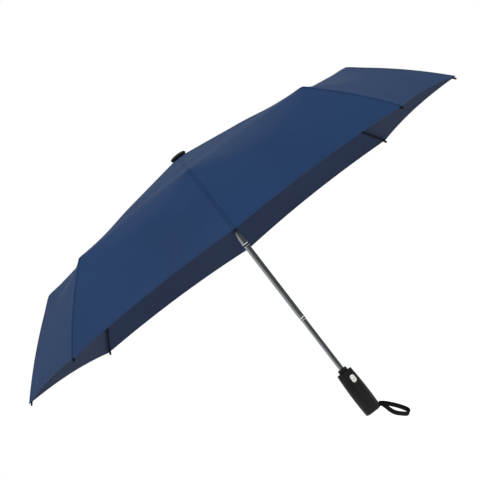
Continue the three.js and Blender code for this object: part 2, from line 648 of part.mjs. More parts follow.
// Hangs a rib piece on its pivot, falling at the given slope
function hang(name, geometry, finish, pivot, slope, parent) {
  const mesh = add(name, geometry, finish, parent);
  mesh.position.set(pivot.x, 0, pivot.y);
  mesh.rotation.y = slope;
}

const ribPieces = {
  topRib: topRib(),
  stretcher: stretcher(),
  connectingRod: connectingRod(),
  middleRib: middleRib(),
  tailRib: tailRib(),
};

for (let i = 0; i < RIB_SETS; i += 1) {
  const set = new THREE.Group();
  const slope = radians(RIB_SLOPE);
  const number = i + 1;
  set.rotation.z = 2 * Math.PI * i / RIB_SETS;
  umbrella.add(set);
  hang(`top_rib_${number}`, ribPieces.topRib, RIB_STEEL, open.notch, slope, set);
  hang(`stretcher_${number}`, ribPieces.stretcher, RIB_STEEL, RUNNER_PIVOT, -ARM_OPEN, set);
  hang(`connecting_rod_${number}`, ribPieces.connectingRod, RIB_STEEL, ROD_PIVOT, ROD_SLOPE, set);
  hang(`middle_rib_${number}`, ribPieces.middleRib, RIB_STEEL, open.knee, slope, set);
  hang(`tail_rib_${number}`, ribPieces.tailRib, BLACK_STEEL, TAIL_PIVOT, radians(TAIL_SLOPE), set);
}

add('canopy', cover(), FABRIC);
add('ferrule_cap', ferruleCap(), BLACK_NYLON);
add('top_notch', topNotch(), BLACK_NYLON);
add('notch_wire', ringWire(NOTCH_AT), SPRING_STEEL);
add('runner', runner(), BLACK_NYLON);
add('runner_wire', ringWire(RUNNER_AT), SPRING_STEEL);

const tubeAt = (outer, foot, top) => tube(outer - TUBE_WALL, outer, foot, top);
add('upper_tube', tubeAt(UPPER_TUBE_RADIUS, UPPER_TUBE_FOOT, UPPER_TUBE_TOP), CHROME);
add('middle_tube', tubeAt(MIDDLE_TUBE_RADIUS, MIDDLE_TUBE_FOOT, MIDDLE_TUBE_TOP), CHROME);
add('lower_tube', tubeAt(LOWER_TUBE_RADIUS, END_CAP_THICKNESS + 5, LOWER_TUBE_TOP), CHROME);
add('main_spring', mainSpring(), SPRING_STEEL);

add('handle_grip', grip(), SOFT_TOUCH);
add('handle_core', handleCore(), BLACK_NYLON);
add('handle_end_cap', endCap(), SOFT_TOUCH);
add('push_button', pushButton(), BUTTON_WHITE);
add('button_spring', buttonSpring(), SPRING_STEEL);
add('strap_pin', strapPin(), SPRING_STEEL);
add('wrist_strap', wristStrap(), WEBBING);

export default umbrella;
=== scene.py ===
# %% [markdown]
# # A folding umbrella, dressed on its frame
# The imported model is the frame: every tube, rib and pivot already has its place and size.
# This lesson puts the looks on it, one piece at a time: sewn cover, tubes, fittings, grip, strap.
# %% Load the frame
import json
import math

import bmesh
import bpy
import numpy as np
from mathutils import Matrix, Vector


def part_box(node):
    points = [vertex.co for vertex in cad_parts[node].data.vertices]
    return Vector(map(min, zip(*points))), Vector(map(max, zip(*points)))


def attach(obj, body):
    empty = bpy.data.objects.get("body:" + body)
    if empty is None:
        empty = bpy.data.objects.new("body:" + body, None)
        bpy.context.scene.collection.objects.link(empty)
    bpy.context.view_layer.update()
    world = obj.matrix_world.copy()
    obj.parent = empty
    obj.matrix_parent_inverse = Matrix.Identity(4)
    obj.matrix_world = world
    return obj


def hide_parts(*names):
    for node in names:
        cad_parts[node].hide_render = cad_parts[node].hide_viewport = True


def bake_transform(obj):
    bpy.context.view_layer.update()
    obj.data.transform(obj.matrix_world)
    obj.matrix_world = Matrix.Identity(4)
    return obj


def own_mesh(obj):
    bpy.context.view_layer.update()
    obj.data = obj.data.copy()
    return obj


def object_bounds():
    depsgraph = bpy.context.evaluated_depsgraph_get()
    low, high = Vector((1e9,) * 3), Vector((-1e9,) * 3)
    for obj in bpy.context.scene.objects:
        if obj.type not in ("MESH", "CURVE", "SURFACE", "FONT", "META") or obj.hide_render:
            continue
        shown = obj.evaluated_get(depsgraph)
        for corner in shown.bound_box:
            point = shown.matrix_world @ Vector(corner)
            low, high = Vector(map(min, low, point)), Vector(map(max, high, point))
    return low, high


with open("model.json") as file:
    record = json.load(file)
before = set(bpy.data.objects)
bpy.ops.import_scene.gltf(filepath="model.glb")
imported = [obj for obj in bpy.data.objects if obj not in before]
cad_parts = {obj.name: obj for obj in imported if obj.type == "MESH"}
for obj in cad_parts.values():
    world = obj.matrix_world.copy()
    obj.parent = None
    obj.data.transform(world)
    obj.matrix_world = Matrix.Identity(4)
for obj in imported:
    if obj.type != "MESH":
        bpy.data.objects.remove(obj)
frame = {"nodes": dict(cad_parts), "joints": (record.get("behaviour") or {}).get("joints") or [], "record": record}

cad_low, cad_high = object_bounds()
joints = {joint["name"]: joint for joint in frame["joints"]}

# %% [markdown]
# ## Camera
# The umbrella is seen from a little below its middle, leaning to the right. The model itself
# stands upright, so the lean comes from rolling the camera about its own line of sight.
# %% Camera
CAMERA_AIM = (-0.0033, 0.0, 0.3902)
CAMERA_DISTANCE = 3.856
CAMERA_RISE = math.radians(2.61)       # it looks up by this much
CAMERA_ROLL = math.radians(-37.57)
CAMERA_LENS = 160.8


def rolled_camera():
    """Right, up and ahead are three unit vectors; roll turns right and up about ahead."""
    ahead = np.array([0.0, math.cos(CAMERA_RISE), math.sin(CAMERA_RISE)])
    up = np.array([0.0, -math.sin(CAMERA_RISE), math.cos(CAMERA_RISE)])
    right = np.array([1.0, 0.0, 0.0])
    rolled_right = right * math.cos(CAMERA_ROLL) + up * math.sin(CAMERA_ROLL)
    rolled_up = up * math.cos(CAMERA_ROLL) - right * math.sin(CAMERA_ROLL)
    place = np.eye(4)
    place[:3, 0] = rolled_right
    place[:3, 1] = rolled_up
    place[:3, 2] = -ahead
    place[:3, 3] = np.array(CAMERA_AIM) - CAMERA_DISTANCE * ahead
    camera = bpy.data.objects.new("camera", bpy.data.cameras.new("camera"))
    camera.data.lens = CAMERA_LENS
    camera.matrix_world = Matrix(place.tolist())
    bpy.context.scene.collection.objects.link(camera)
    bpy.context.scene.camera = camera
    return camera


rolled_camera()
bpy.context.scene.view_settings.view_transform = "Standard"
print("camera", CAMERA_DISTANCE, "m away, lens", CAMERA_LENS, "mm")

# %% [markdown]
# ## Shapes as grids
# Every new piece is a grid of points worked out with numpy: rows by columns. Turned pieces carry
# a profile round a line, wires carry a ring along a path. One function then puts any grid into
# a mesh, closes its seams and turns its faces outwards.
# %% Grid helpers
def grid(points, wrap=False):
    """Joins each point to its right and lower neighbours; with wrap the last column meets the first."""
    rows, columns = points.shape[:2]
    index = np.arange(rows * columns).reshape(rows, columns)
    right = np.roll(index, -1, axis=1)
    if not wrap:
        index, right = index[:, :-1], right[:, :-1]
    faces = np.stack([index[:-1], right[:-1], right[1:], index[1:]], axis=-1)
    return points.reshape(-1, 3), faces.reshape(-1, 4)


def together(shapes):
    """Several shapes as one: the points stacked, the faces counted on from those before."""
    points, faces, count = [], [], 0
    for shape_points, shape_faces in shapes:
        points.append(shape_points)
        faces.append(shape_faces + count)
        count += len(shape_points)
    return np.concatenate(points), np.concatenate(faces)


def turned(profile, sides=64):
    """A profile of (radius, height) carried round +Z: x = r cos a, y = r sin a."""
    radius, height = np.array(profile, float).T
    angle = np.linspace(0, 2 * math.pi, sides, endpoint=False)
    points = np.stack([
        radius[:, None] * np.cos(angle),
        radius[:, None] * np.sin(angle),
        np.repeat(height[:, None], sides, axis=1),
    ], axis=-1)
    return grid(points, wrap=True)


def arc(centre, radius, start, end, steps=8):
    """Points on a circle, from one angle to another in degrees."""
    angle = np.radians(np.linspace(start, end, steps))
    return np.stack([centre[0] + radius * np.cos(angle), centre[1] + radius * np.sin(angle)], axis=1)


def wire(path, radius, sides=8):
    """A ring carried along a path: its two axes are the cross products of the path's direction
    with a fixed side direction. Both ends close on their own middle."""
    path = np.asarray(path, float)
    ahead = np.gradient(path, axis=0)
    ahead /= np.linalg.norm(ahead, axis=1, keepdims=True)
    spare = np.eye(3)[np.argmin(np.abs(ahead).max(axis=0))]
    side = np.cross(ahead, spare)
    side /= np.linalg.norm(side, axis=1, keepdims=True)
    up = np.cross(side, ahead)
    angle = np.linspace(0, 2 * math.pi, sides, endpoint=False)[None, :, None]
    ring = side[:, None] * np.cos(angle) + up[:, None] * np.sin(angle)
    points = path[:, None] + radius * ring
    closed = np.concatenate([np.repeat(path[:1, None], sides, axis=1), points,
                             np.repeat(path[-1:, None], sides, axis=1)])
    return grid(closed, wrap=True)


def spin(points, azimuth):
    """Turns points about the shaft."""
    cos, sin = math.cos(azimuth), math.sin(azimuth)
    return points @ np.array([[cos, sin, 0], [-sin, cos, 0], [0, 0, 1.0]])


def smoothstep(value):
    """3t^2 - 2t^3 with t held between 0 and 1."""
    t = np.clip(value, 0.0, 1.0)
    return t * t * (3 - 2 * t)


SHARP = 35                             # degrees; edges sharper than this stay crisp


def piece(name, shape, body, finish, uv=None):
    """Puts a shape into a mesh, merges its seams and poles, turns it outwards and rides it on a body."""
    points, faces = shape
    mesh = bpy.data.meshes.new(name)
    mesh.from_pydata(points.tolist(), [], faces.tolist())
    if uv is not None:
        corners = np.zeros(len(mesh.loops), np.int32)
        mesh.loops.foreach_get("vertex_index", corners)
        layer = mesh.uv_layers.new(name="UVMap")
        layer.data.foreach_set("uv", np.asarray(uv, np.float32)[corners].ravel())
    work = bmesh.new()
    work.from_mesh(mesh)
    bmesh.ops.remove_doubles(work, verts=work.verts, dist=1e-6)
    bmesh.ops.recalc_face_normals(work, faces=work.faces)
    work.to_mesh(mesh)
    work.free()
    mesh.shade_smooth()
    mesh.set_sharp_from_angle(angle=math.radians(SHARP))
    mesh.materials.append(finish)
    made = bpy.data.objects.new(name, mesh)
    bpy.context.scene.collection.objects.link(made)
    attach(made, body)
    return made


# %% [markdown]
# ## Finishes
# Each finish is a Principled shader with a fine pattern on it: weave, grain or brushing. What is
# the same all over sits on the shader's own sockets; only what changes from place to place is wired.
# %% Finish helpers
def finish_of(name, colour, roughness, metallic=0.0, **sockets):
    """A Principled material with its plain numbers set, and its node tree and shader to wire up."""
    made = bpy.data.materials.new(name)
    made.use_nodes = True
    shader = made.node_tree.nodes["Principled BSDF"]
    shader.inputs["Base Color"].default_value = (*colour, 1)
    shader.inputs["Roughness"].default_value = roughness
    shader.inputs["Metallic"].default_value = metallic
    for socket, value in sockets.items():
        shader.inputs[socket.replace("_", " ")].default_value = value
    return made, made.node_tree, shader


def add_node(tree, kind, values=None, **settings):
    """One node: settings are its own options, values go to its sockets as links or numbers."""
    made = tree.nodes.new(kind)
    for key, value in settings.items():
        setattr(made, key, value)
    for socket, value in (values or {}).items():
        if isinstance(value, bpy.types.NodeSocket):
            tree.links.new(value, made.inputs[socket])
        else:
            made.inputs[socket].default_value = value
    return made


def calc(tree, operation, *values):
    """A Math node's result."""
    return add_node(tree, "ShaderNodeMath", dict(enumerate(values)), operation=operation).outputs[0]


def place_on(tree, where="Object", scale=(1, 1, 1)):
    """The piece's own coordinates, stretched."""
    source = add_node(tree, "ShaderNodeTexCoord").outputs[where]
    return add_node(tree, "ShaderNodeMapping", {"Vector": source, "Scale": scale}).outputs[0]


def noise(tree, where, scale, detail=3.0):
    """Cloudy noise between about 0.3 and 0.7."""
    values = {"Vector": where, "Scale": scale, "Detail": detail}
    return add_node(tree, "ShaderNodeTexNoise", values).outputs["Fac"]


def ramp(tree, factor, low, high, dark, light):
    """A colour that goes from dark to light as the factor goes from low to high."""
    made = add_node(tree, "ShaderNodeValToRGB", {"Fac": factor})
    made.color_ramp.elements[0].position = low
    made.color_ramp.elements[0].color = (*dark, 1)
    made.color_ramp.elements[1].position = high
    made.color_ramp.elements[1].color = (*light, 1)
    return made.outputs["Color"]


def mix_colours(tree, factor, first, second):
    """first at factor 0, second at factor 1; the colour sockets are the node's sixth and seventh."""
    made = add_node(tree, "ShaderNodeMix", data_type="RGBA")
    for socket, value in ((0, factor), (6, first), (7, second)):
        if isinstance(value, bpy.types.NodeSocket):
            tree.links.new(value, made.inputs[socket])
        else:
            made.inputs[socket].default_value = value
    return made.outputs[2]


def spread(tree, factor, low, high):
    """The factor's usual 0.3 to 0.7 stretched to a range of its own."""
    values = {"Value": factor, "From Min": 0.3, "From Max": 0.7, "To Min": low, "To Max": high}
    return add_node(tree, "ShaderNodeMapRange", values).outputs["Result"]


def relief(tree, shader, *layers):
    """Bump layers one on another: each is (height, strength, depth in metres)."""
    normal = None
    for height, strength, depth in layers:
        values = {"Height": height, "Strength": strength, "Distance": depth}
        if normal is not None:
            values["Normal"] = normal
        normal = add_node(tree, "ShaderNodeBump", values).outputs["Normal"]
    tree.links.new(normal, shader.inputs["Normal"])


def wire_up(tree, shader, **sockets):
    """Links results to the shader's sockets."""
    for socket, value in sockets.items():
        tree.links.new(value, shader.inputs[socket.replace("_", " ")])


# %% [markdown]
# ### Cover fabric
# The cover is pongee, a fine plain weave of polyester with a dull silky sheen. Its UV map is in
# metres: u runs across from the rib's seam, v up from the hem. The weave is the product of two
# sines, the seam and the hem stitching are thin bands at fixed distances, painted darker as
# shade in their grooves.
# %% Cover fabric
YARN = 0.0009                          # two yarns of the plain weave
SEAM_LINE = 0.0026                     # the stitched edge of the seam, from the rib
HEM_LINE = 0.0042                      # the hem's stitching, from the edge
STITCH = 0.0032                        # length of one stitch and its gap
SEAM_HALF = 0.0007                     # half widths of the two stitched lines
HEM_HALF = 0.0004


def band(tree, value, middle, half):
    """1 on a thin band round the middle, 0 elsewhere, with a soft edge."""
    off = calc(tree, "ABSOLUTE", calc(tree, "SUBTRACT", value, middle))
    values = {"Value": off, "From Min": half, "From Max": 0.4 * half, "To Min": 0.0, "To Max": 1.0}
    return add_node(tree, "ShaderNodeMapRange", values).outputs["Result"]


def fabric(name, dark, light, roughness, gloss):
    """Plain weave: height = sin(u) sin(v) over two yarns, with slow colour changes and stitch lines painted darker
    as shade.
    """
    made, tree, shader = finish_of(name, light, roughness, Specular_IOR_Level=gloss)
    uv = add_node(tree, "ShaderNodeTexCoord").outputs["UV"]
    parts = add_node(tree, "ShaderNodeSeparateXYZ", {"Vector": uv}).outputs
    turns = 2 * math.pi / YARN
    across = calc(tree, "SINE", calc(tree, "MULTIPLY", parts["X"], turns))
    along = calc(tree, "SINE", calc(tree, "MULTIPLY", parts["Y"], turns))
    weave = calc(tree, "MULTIPLY", across, along)
    cloud = noise(tree, place_on(tree, scale=(1, 1, 1)), 7.0, 4.0)
    slub = noise(tree, place_on(tree, "UV", (240, 1500, 1)), 1.0, 2.0)
    seam = band(tree, parts["X"], SEAM_LINE, SEAM_HALF)
    hem = band(tree, parts["Y"], HEM_LINE, HEM_HALF)
    gap = calc(tree, "SINE", calc(tree, "MULTIPLY", parts["X"], 2 * math.pi / STITCH))
    stitched = calc(tree, "MULTIPLY", hem, calc(tree, "GREATER_THAN", gap, -0.3))
    lines = calc(tree, "MAXIMUM", seam, stitched)
    tone = calc(tree, "ADD", calc(tree, "MULTIPLY", weave, 0.05), calc(tree, "MULTIPLY", slub, 0.35))
    tone = calc(tree, "ADD", tone, calc(tree, "MULTIPLY", cloud, 0.65))
    cloth = ramp(tree, tone, 0.15, 0.75, dark, light)
    # The stitch lines are painted a quarter as bright as the dark cloth: painted shade in their grooves.
    shade = [0.25 * c for c in dark] + [1]
    colour = mix_colours(tree, calc(tree, "MULTIPLY", lines, 0.8), cloth, shade)
    wire_up(tree, shader, Base_Color=colour,
            Roughness=spread(tree, slub, roughness - 0.05, roughness + 0.05))
    pull = noise(tree, place_on(tree, "UV", (9, 2.2, 1)), 2.0, 2.0)
    relief(tree, shader, (pull, 0.25, 0.004), (lines, -0.35, 0.0004), (weave, 0.12, 0.00006))
    return made


OUTER_NAVY = fabric("cover_outside", (0.0105, 0.0335, 0.095), (0.0170, 0.0490, 0.136), 0.60, 0.09)
# The inside face is the same cloth with a darker, greyer colour: painted shade under the canopy.
INNER_NAVY_PAINTED_SHADE = fabric("cover_inside", (0.015, 0.024, 0.052), (0.023, 0.035, 0.073), 0.7, 0.06)

# %% [markdown]
# ### Steel, nylon, soft-touch plastic and webbing
# Drawn steel tubes are polished and plated, with faint lines along them. Rib strip is satin.
# Moulded black nylon has a fine grain; the grip's soft-touch coating is duller. Moulded edges get
# a painted sheen, hollows painted shade. Webbing is ribbed lengthwise by its thick yarns.
# %% Hard finishes
def metal(name, colour, rough_low, rough_high, lines, fine):
    """Brushed or polished metal: noise stretched along the piece drives the roughness."""
    made, tree, shader = finish_of(name, colour, rough_low, 1.0)
    brushed = noise(tree, place_on(tree, scale=lines), fine, 3.0)
    smudge = noise(tree, place_on(tree), 60.0, 2.0)
    mixed = calc(tree, "MULTIPLY", calc(tree, "ADD", brushed, smudge), 0.5)
    wire_up(tree, shader, Roughness=spread(tree, mixed, rough_low, rough_high),
            Base_Color=ramp(tree, smudge, 0.3, 0.7, [0.88 * c for c in colour], colour))
    relief(tree, shader, (brushed, 0.04, 0.0001))
    return made


def moulded(name, colour, roughness, grain, depth, edge_sheen_colour, gloss=0.25):
    """Moulded plastic: fine pitted grain, cloudy gloss, a painted sheen on outward edges and painted shade in
    hollows.
    """
    made, tree, shader = finish_of(name, colour, roughness, Specular_IOR_Level=gloss)
    pits = noise(tree, place_on(tree), grain, 2.0)
    cloud = noise(tree, place_on(tree), 45.0, 3.0)
    # Pointiness lightens outward edges as a painted sheen and darkens hollows as painted shade.
    edge = add_node(tree, "ShaderNodeNewGeometry").outputs["Pointiness"]
    edge_sheen_and_hollow_shade = calc(tree, "MULTIPLY", calc(tree, "SUBTRACT", edge, 0.5), 4.0)
    tone = calc(tree, "ADD", calc(tree, "MULTIPLY", cloud, 0.8), edge_sheen_and_hollow_shade)
    wire_up(tree, shader, Base_Color=ramp(tree, tone, 0.2, 0.9, colour, edge_sheen_colour),
            Roughness=spread(tree, cloud, roughness - 0.06, roughness + 0.06))
    relief(tree, shader, (pits, 0.35, depth))
    return made


WEB_RIBS = 2800.0                      # radians of the ribs' wave in a metre of width
WEB_YARNS = 5200.0                     # and of the yarns' wave in a metre of length


def webbing():
    """Ribbed weave: height = |sin| across the width, each rib broken up by a sine along it; the colour follows the
    height, with painted shade in the grooves.
    """
    made, tree, shader = finish_of("strap_webbing", (0.004, 0.004, 0.005), 0.8, Specular_IOR_Level=0.15)
    parts = add_node(tree, "ShaderNodeSeparateXYZ", {"Vector": place_on(tree, "UV")}).outputs
    over_width = calc(tree, "MULTIPLY", parts["Y"], WEB_RIBS)
    ribs = calc(tree, "ABSOLUTE", calc(tree, "SINE", over_width))
    over_length = calc(tree, "MULTIPLY", parts["X"], WEB_YARNS)
    yarns = calc(tree, "SINE", calc(tree, "ADD", over_length, over_width))
    height = calc(tree, "ADD", ribs, calc(tree, "MULTIPLY", yarns, 0.35))
    fuzz = noise(tree, place_on(tree), 900.0, 2.0)
    # The colour follows the rib height: the grooves between ribs get painted shade, the tops stay lighter.
    tone = calc(tree, "MULTIPLY", height, fuzz)
    colour = ramp(tree, tone, 0.0, 0.8, (0.0015, 0.0015, 0.002), (0.008, 0.008, 0.009))
    wire_up(tree, shader, Base_Color=colour)
    relief(tree, shader, (height, 0.7, 0.00025))
    return made


CHROME = metal("shaft_chrome", (0.74, 0.74, 0.76), 0.03, 0.09, (90, 90, 1.5), 9.0)
RIB_STEEL = metal("rib_steel", (0.50, 0.51, 0.53), 0.28, 0.42, (60, 60, 60), 12.0)
SPRING_WIRE = metal("spring_wire", (0.47, 0.48, 0.50), 0.2, 0.34, (80, 80, 80), 10.0)
RIB_BLACK = moulded("rib_black_paint", (0.002, 0.0025, 0.004), 0.5, 1800.0, 0.00002,
                    (0.006, 0.007, 0.009), 0.08)
NYLON = moulded("black_nylon", (0.004, 0.004, 0.005), 0.42, 2600.0, 0.00003, (0.014, 0.014, 0.015))
SOFT_TOUCH = moulded("soft_touch_grip", (0.0025, 0.0025, 0.003), 0.42, 3200.0, 0.00004,
                     (0.007, 0.007, 0.008))
BUTTON_WHITE = moulded("button_white", (0.82, 0.82, 0.76), 0.28, 2200.0, 0.00001,
                       (0.92, 0.91, 0.86), 0.5)
THREAD = moulded("navy_thread", (0.012, 0.022, 0.06), 0.7, 2400.0, 0.0001, (0.03, 0.05, 0.12))
WEBBING = webbing()

# %% [markdown]
# ## Wrist strap
# The strap is one length of flat webbing: both ends go into the slot at the grip's foot and the
# middle hangs in a loop. Its middle line is the frame's own route. A flat section with rounded
# edges is carried along it; the width stays across the loop's plane and narrows into the slot.
# %% Wrist strap
STRAP_WIDTH = 0.0115
STRAP_THICKNESS = 0.0013
STRAP_SLOT_WIDTH = 0.0080
STRAP_NARROWS = 0.022                                 # it narrows over this length at each end
STRAP_ACROSS = np.array([0.54, -0.72, 0.43])          # the webbing's width in the loop
STRAP_ACROSS_SLOT = np.array([0.25, -0.10, 0.96])     # and where it enters the grip
STRAP_ROUTE = np.array([
    [15.8, 1.6, 6.9], [19.0, 2.2, 4.6], [23.0, 3.4, 1.0], [27.2, 4.6, -3.0],
    [31.2, 5.4, -7.2], [35.2, 5.8, -11.8], [39.0, 5.8, -16.6], [42.6, 5.4, -21.6],
    [46.0, 4.4, -26.8], [48.8, 2.8, -31.6], [50.2, 0.6, -35.4], [49.8, -1.8, -38.4],
    [47.4, -3.8, -39.8], [43.8, -5.2, -38.4], [39.8, -5.9, -35.0], [35.6, -6.1, -31.2],
    [31.6, -6.0, -27.2], [28.2, -5.6, -22.6], [25.6, -5.0, -17.4], [23.8, -4.2, -11.8],
    [22.4, -3.3, -6.2], [21.0, -2.6, -1.4], [18.8, -2.0, 3.2], [15.8, -1.6, 6.9],
]) * 0.001


def through(points, steps):
    """A smooth curve through points: each span is a cubic whose end slopes are half the step
    between its two neighbours."""
    padded = np.concatenate([2 * points[:1] - points[1:2], points, 2 * points[-1:] - points[-2:-1]])
    t = np.linspace(0, 1, steps, endpoint=False)[None, :, None]
    a, b, c, d = (padded[i:len(padded) - 3 + i][:, None] for i in range(4))
    spans = b + 0.5 * t * (c - a + t * (2 * a - 5 * b + 4 * c - d + t * (3 * (b - c) + d - a)))
    return np.concatenate([spans.reshape(-1, points.shape[1]), points[-1:]])


def length_along(path):
    """Distance along a path at each of its points."""
    steps = np.linalg.norm(np.diff(path, axis=0), axis=1)
    return np.concatenate([[0.0], np.cumsum(steps)])


def ribbon(path, width, thickness, across, corners=6):
    """A flat section with half-round edges: the width axis is made square to the path."""
    ahead = np.gradient(path, axis=0)
    ahead /= np.linalg.norm(ahead, axis=1, keepdims=True)
    wide = across - (across * ahead).sum(axis=1, keepdims=True) * ahead
    wide /= np.linalg.norm(wide, axis=1, keepdims=True)
    thick = np.cross(ahead, wide)
    right = arc((0.5, 0), 1, -90, 90, corners)
    left = arc((-0.5, 0), 1, 90, 270, corners)
    side = np.concatenate([np.ones(len(right)), -np.ones(len(left))])
    bow = np.concatenate([right[:, 0] - 0.5, left[:, 0] + 0.5])
    rise = np.concatenate([right[:, 1], left[:, 1]])
    half = thickness / 2
    out = side[None] * (width[:, None] / 2 - half) + bow[None] * half
    ring = out[..., None] * wide[:, None] + (rise * half)[None, :, None] * thick[:, None]
    body = path[:, None] + ring
    closed = np.concatenate([np.repeat(path[:1, None], ring.shape[1], axis=1), body,
                             np.repeat(path[-1:, None], ring.shape[1], axis=1)])
    run = length_along(path)
    run = np.concatenate([run[:1], run, run[-1:]])
    flat = np.concatenate([np.zeros((1, out.shape[1])), out, np.zeros((1, out.shape[1]))])
    uv = np.stack([np.repeat(run[:, None], out.shape[1], axis=1), flat], axis=-1)
    return grid(closed, wrap=True), uv.reshape(-1, 2)


strap_path = through(STRAP_ROUTE, 6)
strap_run = length_along(strap_path)
strap_length = strap_run[-1]
into_loop = smoothstep(np.minimum(strap_run, strap_length - strap_run) / STRAP_NARROWS)
strap_width = STRAP_SLOT_WIDTH + (STRAP_WIDTH - STRAP_SLOT_WIDTH) * into_loop
strap_across = STRAP_ACROSS_SLOT + (STRAP_ACROSS - STRAP_ACROSS_SLOT) * into_loop[:, None]
strap_shape, strap_uv = ribbon(strap_path, strap_width, STRAP_THICKNESS, strap_across)
strap = piece("wrist_strap_webbing", strap_shape, "handle", WEBBING, strap_uv)
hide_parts("wrist_strap")
print("strap length", round(strap_length * 1000), "mm")

# %% [markdown]
# ## Cover
# Eight triangular panels are sewn edge to edge along the ribs. Over a rib the cover is straight
# to the outer joint and then straight down the tail. Between two ribs it is stretched along
# straight chords, and its crease softens towards the middle of the panel. When the umbrella
# closes the cover crumples between the ribs, so each half panel is three pieces, one on each
# part of its rib.
# %% Cover surface
RIB_SETS = 8
HALF_PANEL = math.pi / RIB_SETS
RIB_SLOPE = math.radians(9.5)
TAIL_SLOPE = math.radians(42)
TOP_RIB = 0.162
MIDDLE_RIB = 0.1665
TAIL_RIB = 0.197
RIBS_OUT = TOP_RIB + MIDDLE_RIB
COVER_OUT = RIBS_OUT + TAIL_RIB
COVER_LIFT = 0.0046                    # cover's middle above the ribs' middle line
COVER_START = -0.003                   # edge of its hole, from the notch's pivots
COVER_SHEET = 0.0004                   # thickness of the cloth
HEM_SCALLOP = 0.008
TAIL_BOW = 0.005                       # the stretched cover bends the tails outwards
ROOF_SAG = 0.0021                      # the cover sinks this far between two joints
PROUD_CORNER = 0.0016                  # and the outer joint pushes it up
CORNER_REACH = 0.020
CREASE_AT_RIB = 0.006                  # length over which the cover turns down
CREASE_MID_PANEL = 0.150
SEAM_RAISED = 0.0005

notch_x, _, notch_z = joints["canopy_fold"]["pos_m"]


def down(slope):
    """Unit vector (out, up) of a line that falls at a slope."""
    return np.array([math.cos(slope), -math.sin(slope)])


def tail_bow(out):
    """How far a tail stands above its chord: the parabola 4 b t (1 - t), where t is the share
    of the tail's length."""
    share = out / TAIL_RIB
    return 4 * TAIL_BOW * share * (1 - share)


def cover_profile(out, crease):
    """Radius and height of the cover at a distance out: a straight fall, plus a ramp towards
    the steeper fall. The ramp is a parabola over the crease, (x + 1)^2 times an eighth of it,
    where x runs from -1 to 1 across the crease. The sag between the joints is a squared sine,
    and the corner's rise a bell, exp(-(x / reach)^2)."""
    lift = np.array([math.sin(RIB_SLOPE), math.cos(RIB_SLOPE)]) * COVER_LIFT
    miter = COVER_LIFT * math.tan((TAIL_SLOPE - RIB_SLOPE) / 2)
    corner = np.array([notch_x, notch_z]) + down(RIB_SLOPE) * (RIBS_OUT + miter) + lift
    past = out - RIBS_OUT
    x = past / (crease / 2)
    ramped = np.where(x >= 1, past, np.where(x <= -1, 0.0, (crease / 8) * (x + 1) ** 2))
    turn = down(TAIL_SLOPE) - down(RIB_SLOPE)
    stretch = np.where(past < 0, past * (RIBS_OUT + miter) / RIBS_OUT, past)
    bow = tail_bow(np.clip(past, 0, TAIL_RIB))
    near_corner = np.exp(-(past / CORNER_REACH) ** 2)
    rise = PROUD_CORNER * near_corner * CREASE_AT_RIB / crease
    rise = rise - ROOF_SAG * np.sin(math.pi * np.clip(1 + past / MIDDLE_RIB, 0, 1)) ** 2
    radius = corner[0] + down(RIB_SLOPE)[0] * stretch + turn[0] * ramped
    height = corner[1] + down(RIB_SLOPE)[1] * stretch + turn[1] * ramped
    radius = radius + bow * math.sin(TAIL_SLOPE) + rise * math.sin(RIB_SLOPE)
    height = height + bow * math.cos(TAIL_SLOPE) + rise * math.cos(RIB_SLOPE)
    return radius, height


def cover_point(share, out):
    """Point of the panel between azimuth 0 and the next rib: share runs 0 to 1 between the
    ribs along a straight chord, out runs down the cover."""
    bulge = np.sin(math.pi * np.clip(share, 0, 1))
    crease = CREASE_AT_RIB + (CREASE_MID_PANEL - CREASE_AT_RIB) * bulge
    radius, height = cover_profile(out, crease)
    cos = (1 - share) + share * math.cos(2 * HALF_PANEL)
    sin = share * math.sin(2 * HALF_PANEL)
    return np.stack([radius * cos, radius * sin, height], axis=-1)


def cover_normal(share, out):
    """Cross product of the two small steps along share and out."""
    step = 1e-4
    wide = cover_point(share + step, out) - cover_point(share - step, out)
    long = cover_point(share, out + step) - cover_point(share, out - step)
    normal = np.cross(long, wide)
    return normal / np.linalg.norm(normal, axis=-1, keepdims=True)


# %% [markdown]
# ### Cutting the half panels
# Columns are close together beside the rib, where the seam stands proud, and wider apart
# towards the middle. Neighbouring pieces share the same edge points and the same normals, so
# the cover reads as one continuous sheet.
# %% Half panels
SEAM_COLUMNS = np.array([0.0, 0.0013, 0.0023, 0.0029])
FREE_COLUMNS = 13
SEAM_FLAT = 0.0021                     # the seam stands proud this far from the rib,
SEAM_FALL = 0.0010                     # then falls to the cloth over this width


def panel_grid(start, end, rows):
    """Distance out and share between the ribs at each row and column of a half panel."""
    out = np.linspace(start, end, rows)[:, None]
    radius = cover_profile(out, CREASE_AT_RIB)[0]
    half = radius * math.sin(HALF_PANEL)
    beyond = (np.arange(1, FREE_COLUMNS + 1) / FREE_COLUMNS) ** 1.15
    first_half = np.arange(len(SEAM_COLUMNS)) / (2 * len(SEAM_COLUMNS))
    fixed = np.minimum(SEAM_COLUMNS[None], half * first_half[None])
    across = np.concatenate([fixed, fixed[:, -1:] + (half - fixed[:, -1:]) * beyond[None]], axis=1)
    share = across / (2 * half)
    hem = np.clip((out - RIBS_OUT) / TAIL_RIB, 0, None)
    return out - 4 * HEM_SCALLOP * share * (1 - share) * hem, share, across


